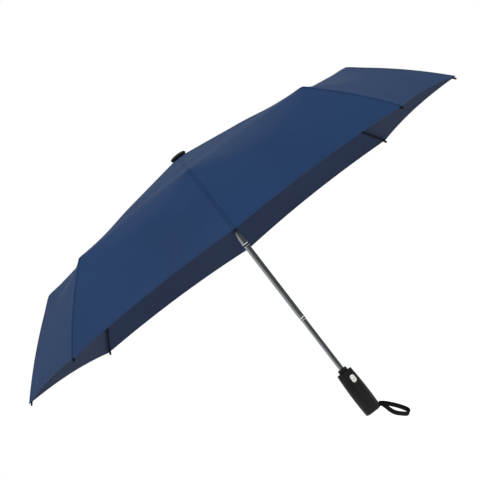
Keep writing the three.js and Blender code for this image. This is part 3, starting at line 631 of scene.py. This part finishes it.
def half_panel(name, number, side, start, end, rows, body):
    """A closed thin sheet: the outer grid, the same grid a cloth's thickness in, and a rim."""
    out, share, across = panel_grid(start, end, rows)
    normal = cover_normal(share, out)
    raised = SEAM_RAISED * (1 - smoothstep((across - SEAM_FLAT) / SEAM_FALL))
    middle = cover_point(share, out)
    outer = middle + normal * (COVER_SHEET / 2 + raised)[..., None]
    inner = middle - normal * COVER_SHEET / 2
    mirror = np.array([1.0, side, 1.0])
    azimuth = 2 * HALF_PANEL * (number - 1)
    outer, inner, normal = (spin(p * mirror, azimuth) for p in (outer, inner, normal))
    rows_count, columns = share.shape
    count = rows_count * columns
    index = np.arange(count).reshape(rows_count, columns)
    edge = np.concatenate([index[0], index[1:, -1], index[-1, -2::-1], index[-2:0:-1, 0]])
    faces = grid(outer)[1]
    rim = np.stack([edge, edge + count, np.roll(edge, -1) + count, np.roll(edge, -1)], axis=1)
    quads = np.concatenate([faces[:, ::-1], faces + count, rim[:, ::-1]])
    if side < 0:
        quads = quads[:, ::-1]
    mesh = bpy.data.meshes.new(name)
    points = np.concatenate([outer.reshape(-1, 3), inner.reshape(-1, 3)])
    mesh.from_pydata(points.tolist(), [], quads.tolist())
    corners = quads.ravel()
    from_hem = np.repeat(out[-1:], rows_count, axis=0) - out + (COVER_OUT - end)
    flat_uv = np.stack([across, from_hem], axis=-1).reshape(-1, 2)
    layer = mesh.uv_layers.new(name="UVMap")
    both_uv = np.concatenate([flat_uv, flat_uv]).astype(np.float32)
    layer.data.foreach_set("uv", both_uv[corners].ravel())
    mesh.shade_smooth()
    turned_out = np.concatenate([normal.reshape(-1, 3), -normal.reshape(-1, 3)])[corners]
    face_normals = np.zeros(len(quads) * 3, np.float32)
    mesh.polygons.foreach_get("normal", face_normals)
    rim_corners = np.arange(len(corners)) >= 8 * len(faces)
    per_corner = np.repeat(face_normals.reshape(-1, 3), 4, axis=0)
    mesh.normals_split_custom_set(np.where(rim_corners[:, None], per_corner, turned_out).tolist())
    mesh.materials.append(OUTER_NAVY)
    mesh.materials.append(INNER_NAVY_PAINTED_SHADE)
    # The inner faces take the inside's darker colour, painted shade under the canopy.
    inside = np.zeros(len(quads), np.int32)
    inside[len(faces):2 * len(faces)] = 1
    mesh.polygons.foreach_set("material_index", inside)
    made = bpy.data.objects.new(name, mesh)
    bpy.context.scene.collection.objects.link(made)
    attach(made, body)
    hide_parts("canopy")
    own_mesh(made)
    steps = np.cross(np.diff(outer, axis=0)[:, :-1], np.diff(outer, axis=1)[:-1])
    area = float(np.linalg.norm(steps, axis=-1).sum())
    width, long = float(across.max()), float(end - start)
    return width, long, area


ZONES = {
    "inner": ("top_rib", COVER_START, TOP_RIB, 10, 0.085, RIB_SLOPE),
    "middle": ("middle_rib", TOP_RIB, RIBS_OUT, 22, 0.055, RIB_SLOPE),
    "outer": ("tail_rib", RIBS_OUT, COVER_OUT, 26, 0.085, TAIL_SLOPE),
}
for number in range(1, RIB_SETS + 1):
    for zone, (rib, start, end, rows, keep, slope) in ZONES.items():
        for side, hand in ((1, "left"), (-1, "right")):
            flat = half_panel(f"cover_{zone}_{number}_{hand}", number, side, start, end, rows,
                              f"{rib}_{number}")
            if number == 1 and side == 1:
                print(zone, "half panel: width, length (mm), area (cm2):",
                      [round(v * s) for v, s in zip(flat, (1000, 1000, 1e4))])

# %% [markdown]
# ## Ribs
# The ribs, stretchers and rods are pressed from steel strip and carry over from the frame. What
# they lack is small: rivet heads at the pivots, thread ties that hold the cover, and rounded
# nylon tips. One helper works in a rib's own plane and turns the result round the shaft.
# %% Rib details
RIVET_RADIUS = 0.0013
RIVET_HEIGHT = 0.0006
CHEEK_OUTSIDE = 0.00265
ROD_OUTSIDE = 0.0043
EAR_OUTSIDE = 0.00225
TIE_RADIUS = 0.00035
TIE_TURN = 0.0008                      # from one turn of thread to the next
ROOT = np.array([notch_x, notch_z])


def on_rib(start, slope, out, up=0.0):
    """(out, up) measured along a rib that falls at a slope from its start."""
    cos, sin = math.cos(slope), math.sin(slope)
    return np.array([start[0] + out * cos + up * sin, start[1] - out * sin + up * cos])


def pivot(name):
    """A hinge's place in its rib plane: distance from the shaft, and height."""
    x, y, z = joints[name]["pos_m"]
    return np.array([math.hypot(x, y), z])


def rivet_head(place, outside, side):
    """A low dome standing across the rib: radius r cos a, height h sin a."""
    angle = np.radians([0, 0, 25, 50, 72, 90])
    radius = RIVET_RADIUS * np.cos(angle)
    height = np.concatenate([[-0.0003], RIVET_HEIGHT * np.sin(angle[1:])])
    points, faces = turned(np.stack([radius, height], axis=1), 14)
    x, y, z = points.T
    return np.stack([place[0] + x, side * (outside + z), place[1] + y], axis=1), faces


def thread_tie(start, slope, out, low, high, half_width):
    """Three turns of thread round a rib and through the cover above it."""
    loops = []
    angle = np.linspace(0, 2 * math.pi, 17)
    for shift in (-TIE_TURN, 0.0, TIE_TURN):
        up = (high + low) / 2 + (high - low) / 2 * np.sin(angle)
        centre = on_rib(start, slope, out + shift)
        across = half_width * np.sign(np.cos(angle)) * np.abs(np.cos(angle)) ** 0.35
        x = centre[0] + up * math.sin(slope)
        z = centre[1] + up * math.cos(slope)
        loops.append(wire(np.stack([x, across, z], axis=1), TIE_RADIUS, 6))
    return together(loops)


def rib_tip():
    """The nylon tip: a sleeve that ends in a ball, along the tail."""
    ball, back = 0.0019, 0.0095
    profile = np.concatenate([
        [[0, -back], [0.0015, -back], [0.0017, -back + 0.0004], [0.0015, -0.0032]],
        arc((0, -ball), ball, -40, 90, 8),
    ])
    profile[-1, 0] = 0.0
    points, faces = turned(profile, 20)
    x, y, z = points.T
    end = on_rib(pivot("tail_rib_1_turn"), TAIL_SLOPE, TAIL_RIB, 0.0017)
    steeper = TAIL_SLOPE + math.atan(4 * TAIL_BOW / TAIL_RIB)
    ahead = down(steeper)
    up = np.array([math.sin(steeper), math.cos(steeper)])
    along_rib = end + z[:, None] * ahead + x[:, None] * up
    return np.stack([along_rib[:, 0], y, along_rib[:, 1]], axis=1), faces


def both_sides(place, outside):
    """A rivet head on each side of a pivot."""
    return [rivet_head(place, outside, side) for side in (1, -1)]


knee, corner_pivot = pivot("middle_rib_1_turn"), pivot("tail_rib_1_turn")
small_parts = {
    "top_rib": ("rivets", RIB_STEEL, "rib_steel",
                together(both_sides(pivot("stretcher_1_turn"), EAR_OUTSIDE))),
    "stretcher": ("rivet", RIB_STEEL, "rib_steel",
                  rivet_head(pivot("connecting_rod_1_turn"), ROD_OUTSIDE + 0.0002, 1)),
    "middle_rib": ("rivets", RIB_STEEL, "rib_steel", together(both_sides(knee, CHEEK_OUTSIDE))),
    "tail_rib": ("rivets_and_tip", RIB_BLACK, "tail_rib_black",
                 together([*both_sides(corner_pivot, CHEEK_OUTSIDE), rib_tip()])),
}
ties = {
    "top_rib": [(ROOT, RIB_SLOPE, out, -0.0018, 0.0046, 0.0021) for out in (0.052, 0.125)],
    "middle_rib": [(ROOT, RIB_SLOPE, out, -0.0018, 0.0026, 0.0021) for out in (0.215, 0.245, 0.275)],
    "tail_rib": [(corner_pivot, TAIL_SLOPE, out, tail_bow(out) + 0.0002, tail_bow(out) + 0.0066,
                  0.0017) for out in (0.045, 0.115)],
}
for number in range(1, RIB_SETS + 1):
    azimuth = 2 * HALF_PANEL * (number - 1)
    for rib, (label, finish, slot, (points, faces)) in small_parts.items():
        piece(f"{rib}_{label}_{number}", (spin(points, azimuth), faces), f"{rib}_{number}", finish)
    for rib, places in ties.items():
        points, faces = together([thread_tie(*place) for place in places])
        piece(f"{rib}_ties_{number}", (spin(points, azimuth), faces), f"{rib}_{number}",
              THREAD)
print("rib details on", len(small_parts), "parts of each of", RIB_SETS, "rib sets")

# %% [markdown]
# ### Fabric over the joints
# Where a rib folds, the cover folds over the joint with it. A narrow patch lies under the cover
# at each joint.
# %% Joint patches
PATCH_HALF_WIDTH = 0.0075
PATCH_REACH = 0.013
PATCH_DEPTHS = (0.0003, 0.0007)        # its two faces below the cover's underside
PLAIN_CLOTH = 0.05                     # shifts its pattern away from the seam and hem lines


def joint_patch(middle_out):
    """A thin strip just under the cover, square to the rib, closed by a second face below."""
    out = np.linspace(middle_out - PATCH_REACH, middle_out + PATCH_REACH, 22)[:, None]
    across = np.linspace(-PATCH_HALF_WIDTH, PATCH_HALF_WIDTH, 9)[None]
    radius = cover_profile(out, CREASE_AT_RIB)[0]
    share = np.abs(across) / (2 * radius * math.sin(HALF_PANEL))
    spread_out = out + 0 * across
    hand = np.where(across < 0, -1.0, 1.0) + 0 * share
    mirror = np.stack([np.ones_like(share), hand, np.ones_like(share)], axis=-1)
    middle = cover_point(share, spread_out) * mirror
    normal = cover_normal(share, spread_out) * mirror
    layers = [middle - normal * (COVER_SHEET / 2 + drop) for drop in PATCH_DEPTHS]
    rings = np.concatenate([layers[0], layers[1][:, ::-1]], axis=1)
    centre = rings.mean(axis=1, keepdims=True)
    ends = [np.repeat(centre[i], rings.shape[1], axis=0)[None] for i in (0, -1)]
    uv = np.full((*rings.shape[:2], 2), PLAIN_CLOTH)
    uv[..., 0] += np.concatenate([across[0], across[0, ::-1]])
    uv[..., 1] += out
    uv = np.concatenate([uv[:1], uv, uv[-1:]]).reshape(-1, 2)
    area = 2 * PATCH_HALF_WIDTH * 2 * PATCH_REACH
    return grid(np.concatenate([ends[0], rings, ends[1]]), wrap=True), uv, area


def blended_patch(name, number, middle_out, body_a):
    """Places a patch at a joint; its upper faces have the outside's colour, the lower the inside's darker colour,
    which is painted shade.
    """
    (points, faces), uv, area = joint_patch(middle_out)
    azimuth = 2 * HALF_PANEL * (number - 1)
    made = piece(name, (spin(points, azimuth), faces), f"{body_a}_{number}", INNER_NAVY_PAINTED_SHADE, uv)
    made.parent = None
    made.data.materials.append(OUTER_NAVY)
    face_normals = np.zeros(len(made.data.polygons) * 3, np.float32)
    made.data.polygons.foreach_get("normal", face_normals)
    outside = (face_normals[2::3] > 0).astype(np.int32)
    made.data.polygons.foreach_set("material_index", outside)
    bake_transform(made)
    return made


for number in range(1, RIB_SETS + 1):
    blended_patch(f"knee_patch_{number}", number, TOP_RIB, "top_rib")
    blended_patch(f"corner_patch_{number}", number, RIBS_OUT, "middle_rib")

# %% [markdown]
# ## Tubes and cap
# Each tube is drawn steel with a wall, and its lower end is rolled in so that the next tube
# can't wobble. The cap is a moulded dome on a short stem; a washer under it clamps the cover.
# %% Shaft tubes
WALL = 0.00045
STEADY = 0.0009                        # an extra ring near each end keeps the wall's shading true
LIP = 0.0003
GROOVE_UP = 0.0042                     # the rolled groove: height above the foot, half width, depth
GROOVE_HALF = 0.0011
GROOVE_DEPTH = 0.00022


def tube_profile(radius, foot, top, rolled):
    """Outside up from the foot, over the top and back down the bore; the foot is rolled in."""
    inner = radius - WALL
    lip = arc((radius - LIP, foot + LIP), LIP, -90, 0, 5)
    bead = []
    if rolled:
        groove = foot + GROOVE_UP
        height = np.linspace(groove - GROOVE_HALF, groove + GROOVE_HALF, 11)
        depth = GROOVE_DEPTH * np.cos((height - groove) / GROOVE_HALF * math.pi / 2) ** 2
        bead = np.stack([radius - depth, height], axis=1).tolist()
    straight = [[radius, foot + STEADY], *bead, [radius, top - STEADY]]
    return [[inner, foot], *lip.tolist(), *straight, [radius, top - 0.0002], [radius - 0.0002, top],
            [inner, top], [inner, top - STEADY], [inner, foot + STEADY], [inner, foot]]


for name, body, rolled in (("upper_tube", "crown", True), ("middle_tube", "middle_shaft", True),
                           ("lower_tube", "handle", False)):
    low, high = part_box(name)
    made = piece(f"{name}_drawn", turned(tube_profile(high.x, low.z, high.z, rolled), 96), body,
                 CHROME)
    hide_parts(name)
    print(name, "radius", round(high.x * 1000, 2), "mm, length", round((high.z - low.z) * 1000), "mm")

# %% Cap and washer
cap_low, cap_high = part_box("ferrule_cap")
tube_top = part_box("upper_tube")[1].z
CAP_STEM = 0.0052
CAP_RIM = 0.0036
CAP_ROUND = 0.0016                     # radius of the rim's lower edge
CAP_DIMPLE = 0.0028


def cap_profile():
    """A flat underside, a round-edged rim and a low crown: quarter of an ellipse to the axis."""
    radius, foot, top = cap_high.x, tube_top + 0.0007, cap_high.z
    angle = np.radians(np.linspace(0, 88, 14))
    crown = np.stack([0.003 + (radius - 0.003) * np.cos(angle),
                      foot + CAP_RIM + (top - foot - CAP_RIM) * np.sin(angle)], axis=1)
    rim = arc((radius - CAP_ROUND, foot + CAP_ROUND), CAP_ROUND, -90, 0, 8)
    return [[0, cap_low.z], [CAP_STEM, cap_low.z], [CAP_STEM, foot], *rim.tolist(), *crown.tolist(),
            [CAP_DIMPLE, top], [CAP_DIMPLE - 0.0004, top - 0.0005], [0, top - 0.0005]]


cap = piece("cap_moulded", turned(cap_profile(), 72), "crown", NYLON)
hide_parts("ferrule_cap")
cover_top = notch_z + COVER_LIFT + 0.0006
washer = [[0.0068, cover_top], [0.0115, cover_top - 0.0006], [0.0135, cover_top - 0.0003],
          [0.0138, cover_top + 0.0007], [0.0125, tube_top + 0.0004], [0.0068, tube_top + 0.0004],
          [0.0068, cover_top]]
piece("cover_washer", turned(washer, 64), "crown", NYLON)
print("cap", round(cap_high.x * 2000, 1), "mm across")

# %% [markdown]
# ## Springs
# The long spring in the tubes pushes the umbrella open, and a small spring sits under the
# button. Both are helices: x = r cos t, y = r sin t, rising steadily, with close coils at the
# two ends.
# %% Springs
def helix(radius, low, high, turns, end_turns, per_turn=12):
    """The rise is slow over the end turns and steady between them."""
    t = np.linspace(0, turns, int(turns * per_turn) + 1)
    rise = np.interp(t, [0, end_turns, turns - end_turns, turns], [0, 0.02, 0.98, 1.0])
    angle = 2 * math.pi * t
    return np.stack([radius * np.cos(angle), radius * np.sin(angle), low + (high - low) * rise], axis=1)


COIL_RADIUS = 0.0030
MAIN_WIRE = 0.0004
BUTTON_WIRE = 0.00035
spring_low, spring_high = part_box("main_spring")
main_path = helix(COIL_RADIUS, spring_low.z + 0.0006, spring_high.z - 0.0006, 70, 3)
main_spring = piece("main_spring_coil", wire(main_path, MAIN_WIRE, 6), "handle",
                    SPRING_WIRE)
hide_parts("main_spring")
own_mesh(main_spring)

BUTTON_AZIMUTH = math.radians(-67.5)
BUTTON_UP = 0.0705
BUTTON_SPRING_FOOT = 0.0076            # its two ends, from the grip's middle line
BUTTON_SPRING_TOP = 0.0144
button_middle = np.array([0, 0, BUTTON_UP])
lying = helix(COIL_RADIUS, BUTTON_SPRING_FOOT, BUTTON_SPRING_TOP, 6, 1)[:, [2, 0, 1]]
small_path = spin(lying + button_middle, BUTTON_AZIMUTH)
small_spring = piece("button_spring_coil", wire(small_path, BUTTON_WIRE, 6), "handle",
                     SPRING_WIRE)
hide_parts("button_spring")
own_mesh(small_spring)

# %% [markdown]
# ## Grip and button
# The grip is moulded in one piece: a long barrel that swells under the fingers, a rounded foot,
# and a flat oval bezel round the button. It is a turned surface whose radius also depends on the
# angle: close to the button it rises to the bezel's flat face and drops into the button's well.
# %% Grip
GRIP_TOP = 0.0891
BEZEL_FACE = 0.0170
BEZEL_WIDTH = 0.0020
BUTTON_HALF_LENGTH = 0.0076
BUTTON_HALF_WIDTH = 0.00475
BUTTON_FACE = 0.0176
BUTTON_THICK = 0.0032
BUTTON_HOLLOW = 0.00035
WELL_FLOOR = 0.0128
WELL_GAP = 0.00045                     # between the button and the side of its well
BEZEL_ROUND = 0.00035
BEZEL_BLEND = 0.0009
FINE_ANGLE = 0.61                      # half the angle with close columns, round the button
GRIP_BORE = 0.0112
GRIP_MOUTH = 0.0124
FOOT_ROUND = 0.0026
GRIP_RADII = np.array([[0.0162, 0.0034], [0.0168, 0.0168], [0.0170, 0.0420], [0.0159, 0.0731],
                       [0.0150, 0.0883]])          # radius and height


def grip_radius(height):
    """The barrel's outline: a smooth curve through a few radii."""
    outline = through(GRIP_RADII, 24)
    return np.interp(height, outline[:, 1], outline[:, 0])


def button_distance(across, height):
    """Distance outside an oval with straight sides: how far from its middle line, less its half width."""
    past = np.maximum(np.abs(height - BUTTON_UP) - (BUTTON_HALF_LENGTH - BUTTON_HALF_WIDTH), 0)
    return np.hypot(across, past) - BUTTON_HALF_WIDTH


def grip_shape():
    """Radius over a grid of height and angle. Inside the well it is the well's floor, on the bezel
    the flat face at its own distance, and outside both the plain barrel."""
    foot_round = arc((GRIP_RADII[0, 0] - FOOT_ROUND, GRIP_RADII[0, 1]), FOOT_ROUND, -80, 0, 8)
    coarse_height = np.linspace(0.0040, 0.0565, 26)
    fine_height = np.linspace(0.0572, 0.0838, 112)
    top_height = np.linspace(0.0844, GRIP_TOP - 0.0010, 7)
    height = np.concatenate([coarse_height, fine_height, top_height])
    coarse = np.linspace(FINE_ANGLE + 0.01, 2 * math.pi - FINE_ANGLE - 0.01, 66)
    fine = np.linspace(-FINE_ANGLE, FINE_ANGLE, 96)
    angle = np.concatenate([fine, coarse])
    barrel = grip_radius(height)[:, None] + 0 * angle[None]
    near = np.cos(angle) > 0.5
    stretch = np.where(near, 1 / np.where(near, np.cos(angle), 1), 0)[None]
    flat_face = BEZEL_FACE * stretch + 0 * barrel
    off = button_distance(flat_face * np.sin(angle)[None], height[:, None])
    off = np.where(near[None], off, 1.0)
    edge = smoothstep((BEZEL_WIDTH + BEZEL_BLEND / 2 - off) / BEZEL_BLEND)
    rounding = BEZEL_ROUND * smoothstep((off - BEZEL_WIDTH + BEZEL_BLEND) / BEZEL_BLEND)
    raised = np.maximum(barrel, flat_face - rounding)
    radius = barrel + (raised - barrel) * edge
    well = smoothstep((WELL_GAP - off) / 0.0004)
    radius = radius + (np.minimum(WELL_FLOOR * stretch, radius) - radius) * well
    high = np.array([[0.0147, GRIP_TOP - 0.0003], [0.0141, GRIP_TOP], [GRIP_MOUTH, GRIP_TOP],
                     [GRIP_MOUTH, GRIP_TOP - 0.004]])
    low = np.array([[GRIP_MOUTH, 0.0060], [GRIP_MOUTH, 0.0026], [0.0134, 0.0026], [0.0134, 0.0006],
                    *foot_round])
    heights = np.concatenate([low[:, 1], height, high[:, 1]])[:, None] + 0 * angle[None]
    radii = np.concatenate([low[:, :1] + 0 * angle[None], radius, high[:, :1] + 0 * angle[None]])
    turned_angle = angle + BUTTON_AZIMUTH
    outer = np.stack([radii * np.cos(turned_angle), radii * np.sin(turned_angle), heights], axis=-1)
    bore = np.linspace(GRIP_TOP - 0.004, 0.0060, 6)[1:-1]
    inside = np.stack([GRIP_BORE * np.cos(turned_angle)[None] + 0 * bore[:, None],
                       GRIP_BORE * np.sin(turned_angle)[None] + 0 * bore[:, None],
                       bore[:, None] + 0 * angle[None]], axis=-1)
    return grid(np.concatenate([outer, inside, outer[:1]]), wrap=True)


grip = piece("grip_barrel", grip_shape(), "handle", SOFT_TOUCH)
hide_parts("handle_grip")
print("grip", round(GRIP_TOP * 1000), "mm long,", len(grip.data.polygons), "faces")


# %% Button
def button_shape():
    """Rings of the oval, shrunk towards its middle as they climb: a straight side, a rounded
    edge and a slightly hollowed face."""
    straight = BUTTON_HALF_LENGTH - BUTTON_HALF_WIDTH
    angle = np.linspace(0, 2 * math.pi, 72, endpoint=False)
    across = np.cos(angle)
    along = np.sin(angle)
    lift = np.where(along >= 0, straight, -straight)
    edge = arc((1 - 0.12, 0), 0.12, 0, 80, 6)
    face = np.array([0.80, 0.6, 0.4, 0.2, 0.0])
    hollow = BUTTON_HOLLOW * (1 - (face / 0.86) ** 2)
    shrink = np.concatenate([[0.0, 0.98, 1.0], edge[:, 0], face])
    rise = np.concatenate([[0.0, 0.0, 0.0002], BUTTON_THICK - 0.0006 + edge[:, 1] * 0.005,
                           BUTTON_THICK - hollow])
    side = BUTTON_HALF_WIDTH * shrink[:, None] * across[None]
    up = shrink[:, None] * (BUTTON_HALF_WIDTH * along + lift)[None]
    out = (BUTTON_FACE - BUTTON_THICK + rise)[:, None] + 0 * angle[None]
    points = np.stack([out, side, up + BUTTON_UP], axis=-1)
    return grid(spin(points, BUTTON_AZIMUTH), wrap=True)


button = piece("button_moulded", button_shape(), "button", BUTTON_WHITE)
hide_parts("push_button")

# %% [markdown]
# ## Pieces that carry over
# The fittings, ribs and rods keep their own meshes. A small node group merges their loose
# triangles and shades them smooth up to a sharp edge, and each gets its finish.
# %% Carried-over nodes
def soft_shading():
    """Merge by distance, shade every face smooth, then keep the edges sharper than the limit crisp."""
    group = bpy.data.node_groups.new("soft_shading", "GeometryNodeTree")
    group.interface.new_socket("Geometry", in_out="INPUT", socket_type="NodeSocketGeometry")
    group.interface.new_socket("Geometry", in_out="OUTPUT", socket_type="NodeSocketGeometry")
    source = group.nodes.new("NodeGroupInput").outputs[0]
    merged = add_node(group, "GeometryNodeMergeByDistance", {"Geometry": source, "Distance": 1e-6})
    smooth = add_node(group, "GeometryNodeSetShadeSmooth", {"Geometry": merged.outputs[0]}, domain="FACE")
    angle = add_node(group, "GeometryNodeInputMeshEdgeAngle").outputs["Unsigned Angle"]
    sharp = add_node(group, "FunctionNodeCompare", {0: angle, 1: math.radians(SHARP)},
                     data_type="FLOAT", operation="GREATER_THAN").outputs[0]
    values = {"Geometry": smooth.outputs[0], "Selection": sharp, "Shade Smooth": False}
    crisp = add_node(group, "GeometryNodeSetShadeSmooth", values, domain="EDGE")
    group.links.new(crisp.outputs[0], group.nodes.new("NodeGroupOutput").inputs[0])
    return group


shading = soft_shading()
FINISH_OF_SLOT = {
    "cover_fabric": OUTER_NAVY, "shaft_chrome": CHROME, "rib_steel": RIB_STEEL,
    "tail_rib_black": RIB_BLACK, "fitting_black": NYLON, "grip_soft_touch": SOFT_TOUCH,
    "button_white": BUTTON_WHITE, "strap_webbing": WEBBING, "spring_steel": SPRING_WIRE,
}
for part in frame["record"]["subparts"]:
    node = frame["nodes"][part["node"]]
    node.data.materials.clear()
    node.data.materials.append(FINISH_OF_SLOT[part["material_slot"]])
    node.modifiers.new("soft_shading", "NODES").node_group = shading

# %% [markdown]
# ## Stage and light
# A pale floor lies under the strap. The studio is bright behind the umbrella and darker in
# front, which gives the tubes their bright edges and dark middle, with a large soft light above.
# %% Stage and lights
FLOOR = cad_low.z - 0.010
WORLD_BASE = 0.08
WORLD_SIDES = ("X", -0.1, -1.0, 0.34), ("Y", 0.6, 1.0, 0.42), ("Z", 0.1, 1.0, 0.42)
FLOOR_HALF = 2.2


def floor():
    """A pale square that glows a little, so that it reads as white paper without a horizon."""
    mesh = bpy.data.meshes.new("floor")
    square = np.array([[-1, -1, 0], [1, -1, 0], [1, 1, 0], [-1, 1, 0]]) * FLOOR_HALF
    mesh.from_pydata((square + np.array([0, 0, FLOOR])).tolist(), [], [(0, 1, 2, 3)])
    paper = finish_of("pale_paper", (0.6, 0.6, 0.6), 0.9,
                      Emission_Color=(1, 1, 1, 1), Emission_Strength=0.8)[0]
    mesh.materials.append(paper)
    made = bpy.data.objects.new("floor", mesh)
    bpy.context.scene.collection.objects.link(made)


def studio():
    """Dark in front and to the right, brighter to the left, behind and above; the backdrop is
    white. Each brighter side adds its own share along one axis of the direction."""
    world = bpy.data.worlds.new("studio")
    world.use_nodes = True
    bpy.context.scene.world = world
    tree = world.node_tree
    light = tree.nodes["Background"]
    towards = add_node(tree, "ShaderNodeTexCoord").outputs["Generated"]
    axes = add_node(tree, "ShaderNodeSeparateXYZ", {"Vector": towards}).outputs
    strength = WORLD_BASE
    for axis, start, end, share in WORLD_SIDES:
        values = {"Value": axes[axis], "From Min": start, "From Max": end,
                  "To Min": 0.0, "To Max": share}
        side = add_node(tree, "ShaderNodeMapRange", values).outputs["Result"]
        strength = calc(tree, "ADD", strength, side)
    tree.links.new(strength, light.inputs["Strength"])
    light.inputs["Color"].default_value = (0.90, 0.96, 1.0, 1)
    seen = add_node(tree, "ShaderNodeBackground", {"Color": (1, 1, 1, 1), "Strength": 1.0})
    camera_ray = add_node(tree, "ShaderNodeLightPath").outputs["Is Camera Ray"]
    mixed = add_node(tree, "ShaderNodeMixShader", {0: camera_ray, 1: light.outputs[0], 2: seen.outputs[0]})
    tree.links.new(mixed.outputs[0], tree.nodes["World Output"].inputs["Surface"])


def soft_light(name, place, aim, size, power):
    """A round area light, turned so that its face looks at the aim."""
    data = bpy.data.lights.new(name, "AREA")
    data.shape = "DISK"
    data.size = size
    data.energy = power
    made = bpy.data.objects.new(name, data)
    ahead = np.array(aim) - np.array(place)
    z = -ahead / np.linalg.norm(ahead)
    x = np.cross([0.0, 1.0, 0.0], z)
    x /= np.linalg.norm(x)
    matrix = np.eye(4)
    matrix[:3, 0], matrix[:3, 1], matrix[:3, 2], matrix[:3, 3] = x, np.cross(z, x), z, place
    made.matrix_world = Matrix(matrix.tolist())
    bpy.context.scene.collection.objects.link(made)


floor()
studio()
soft_light("key_light", (-1.3, -1.2, 2.6), (0, 0, 0.5), 1.4, 32)
soft_light("right_light", (2.2, -0.6, 1.7), (0.3, 0, 0.4), 1.0, 20)
soft_light("back_light", (1.1, 2.0, 2.6), (0.3, 0, 0.45), 1.0, 5)
soft_light("front_light", (0.9, -2.8, 1.2), (0.1, 0, 0.1), 0.9, 14)
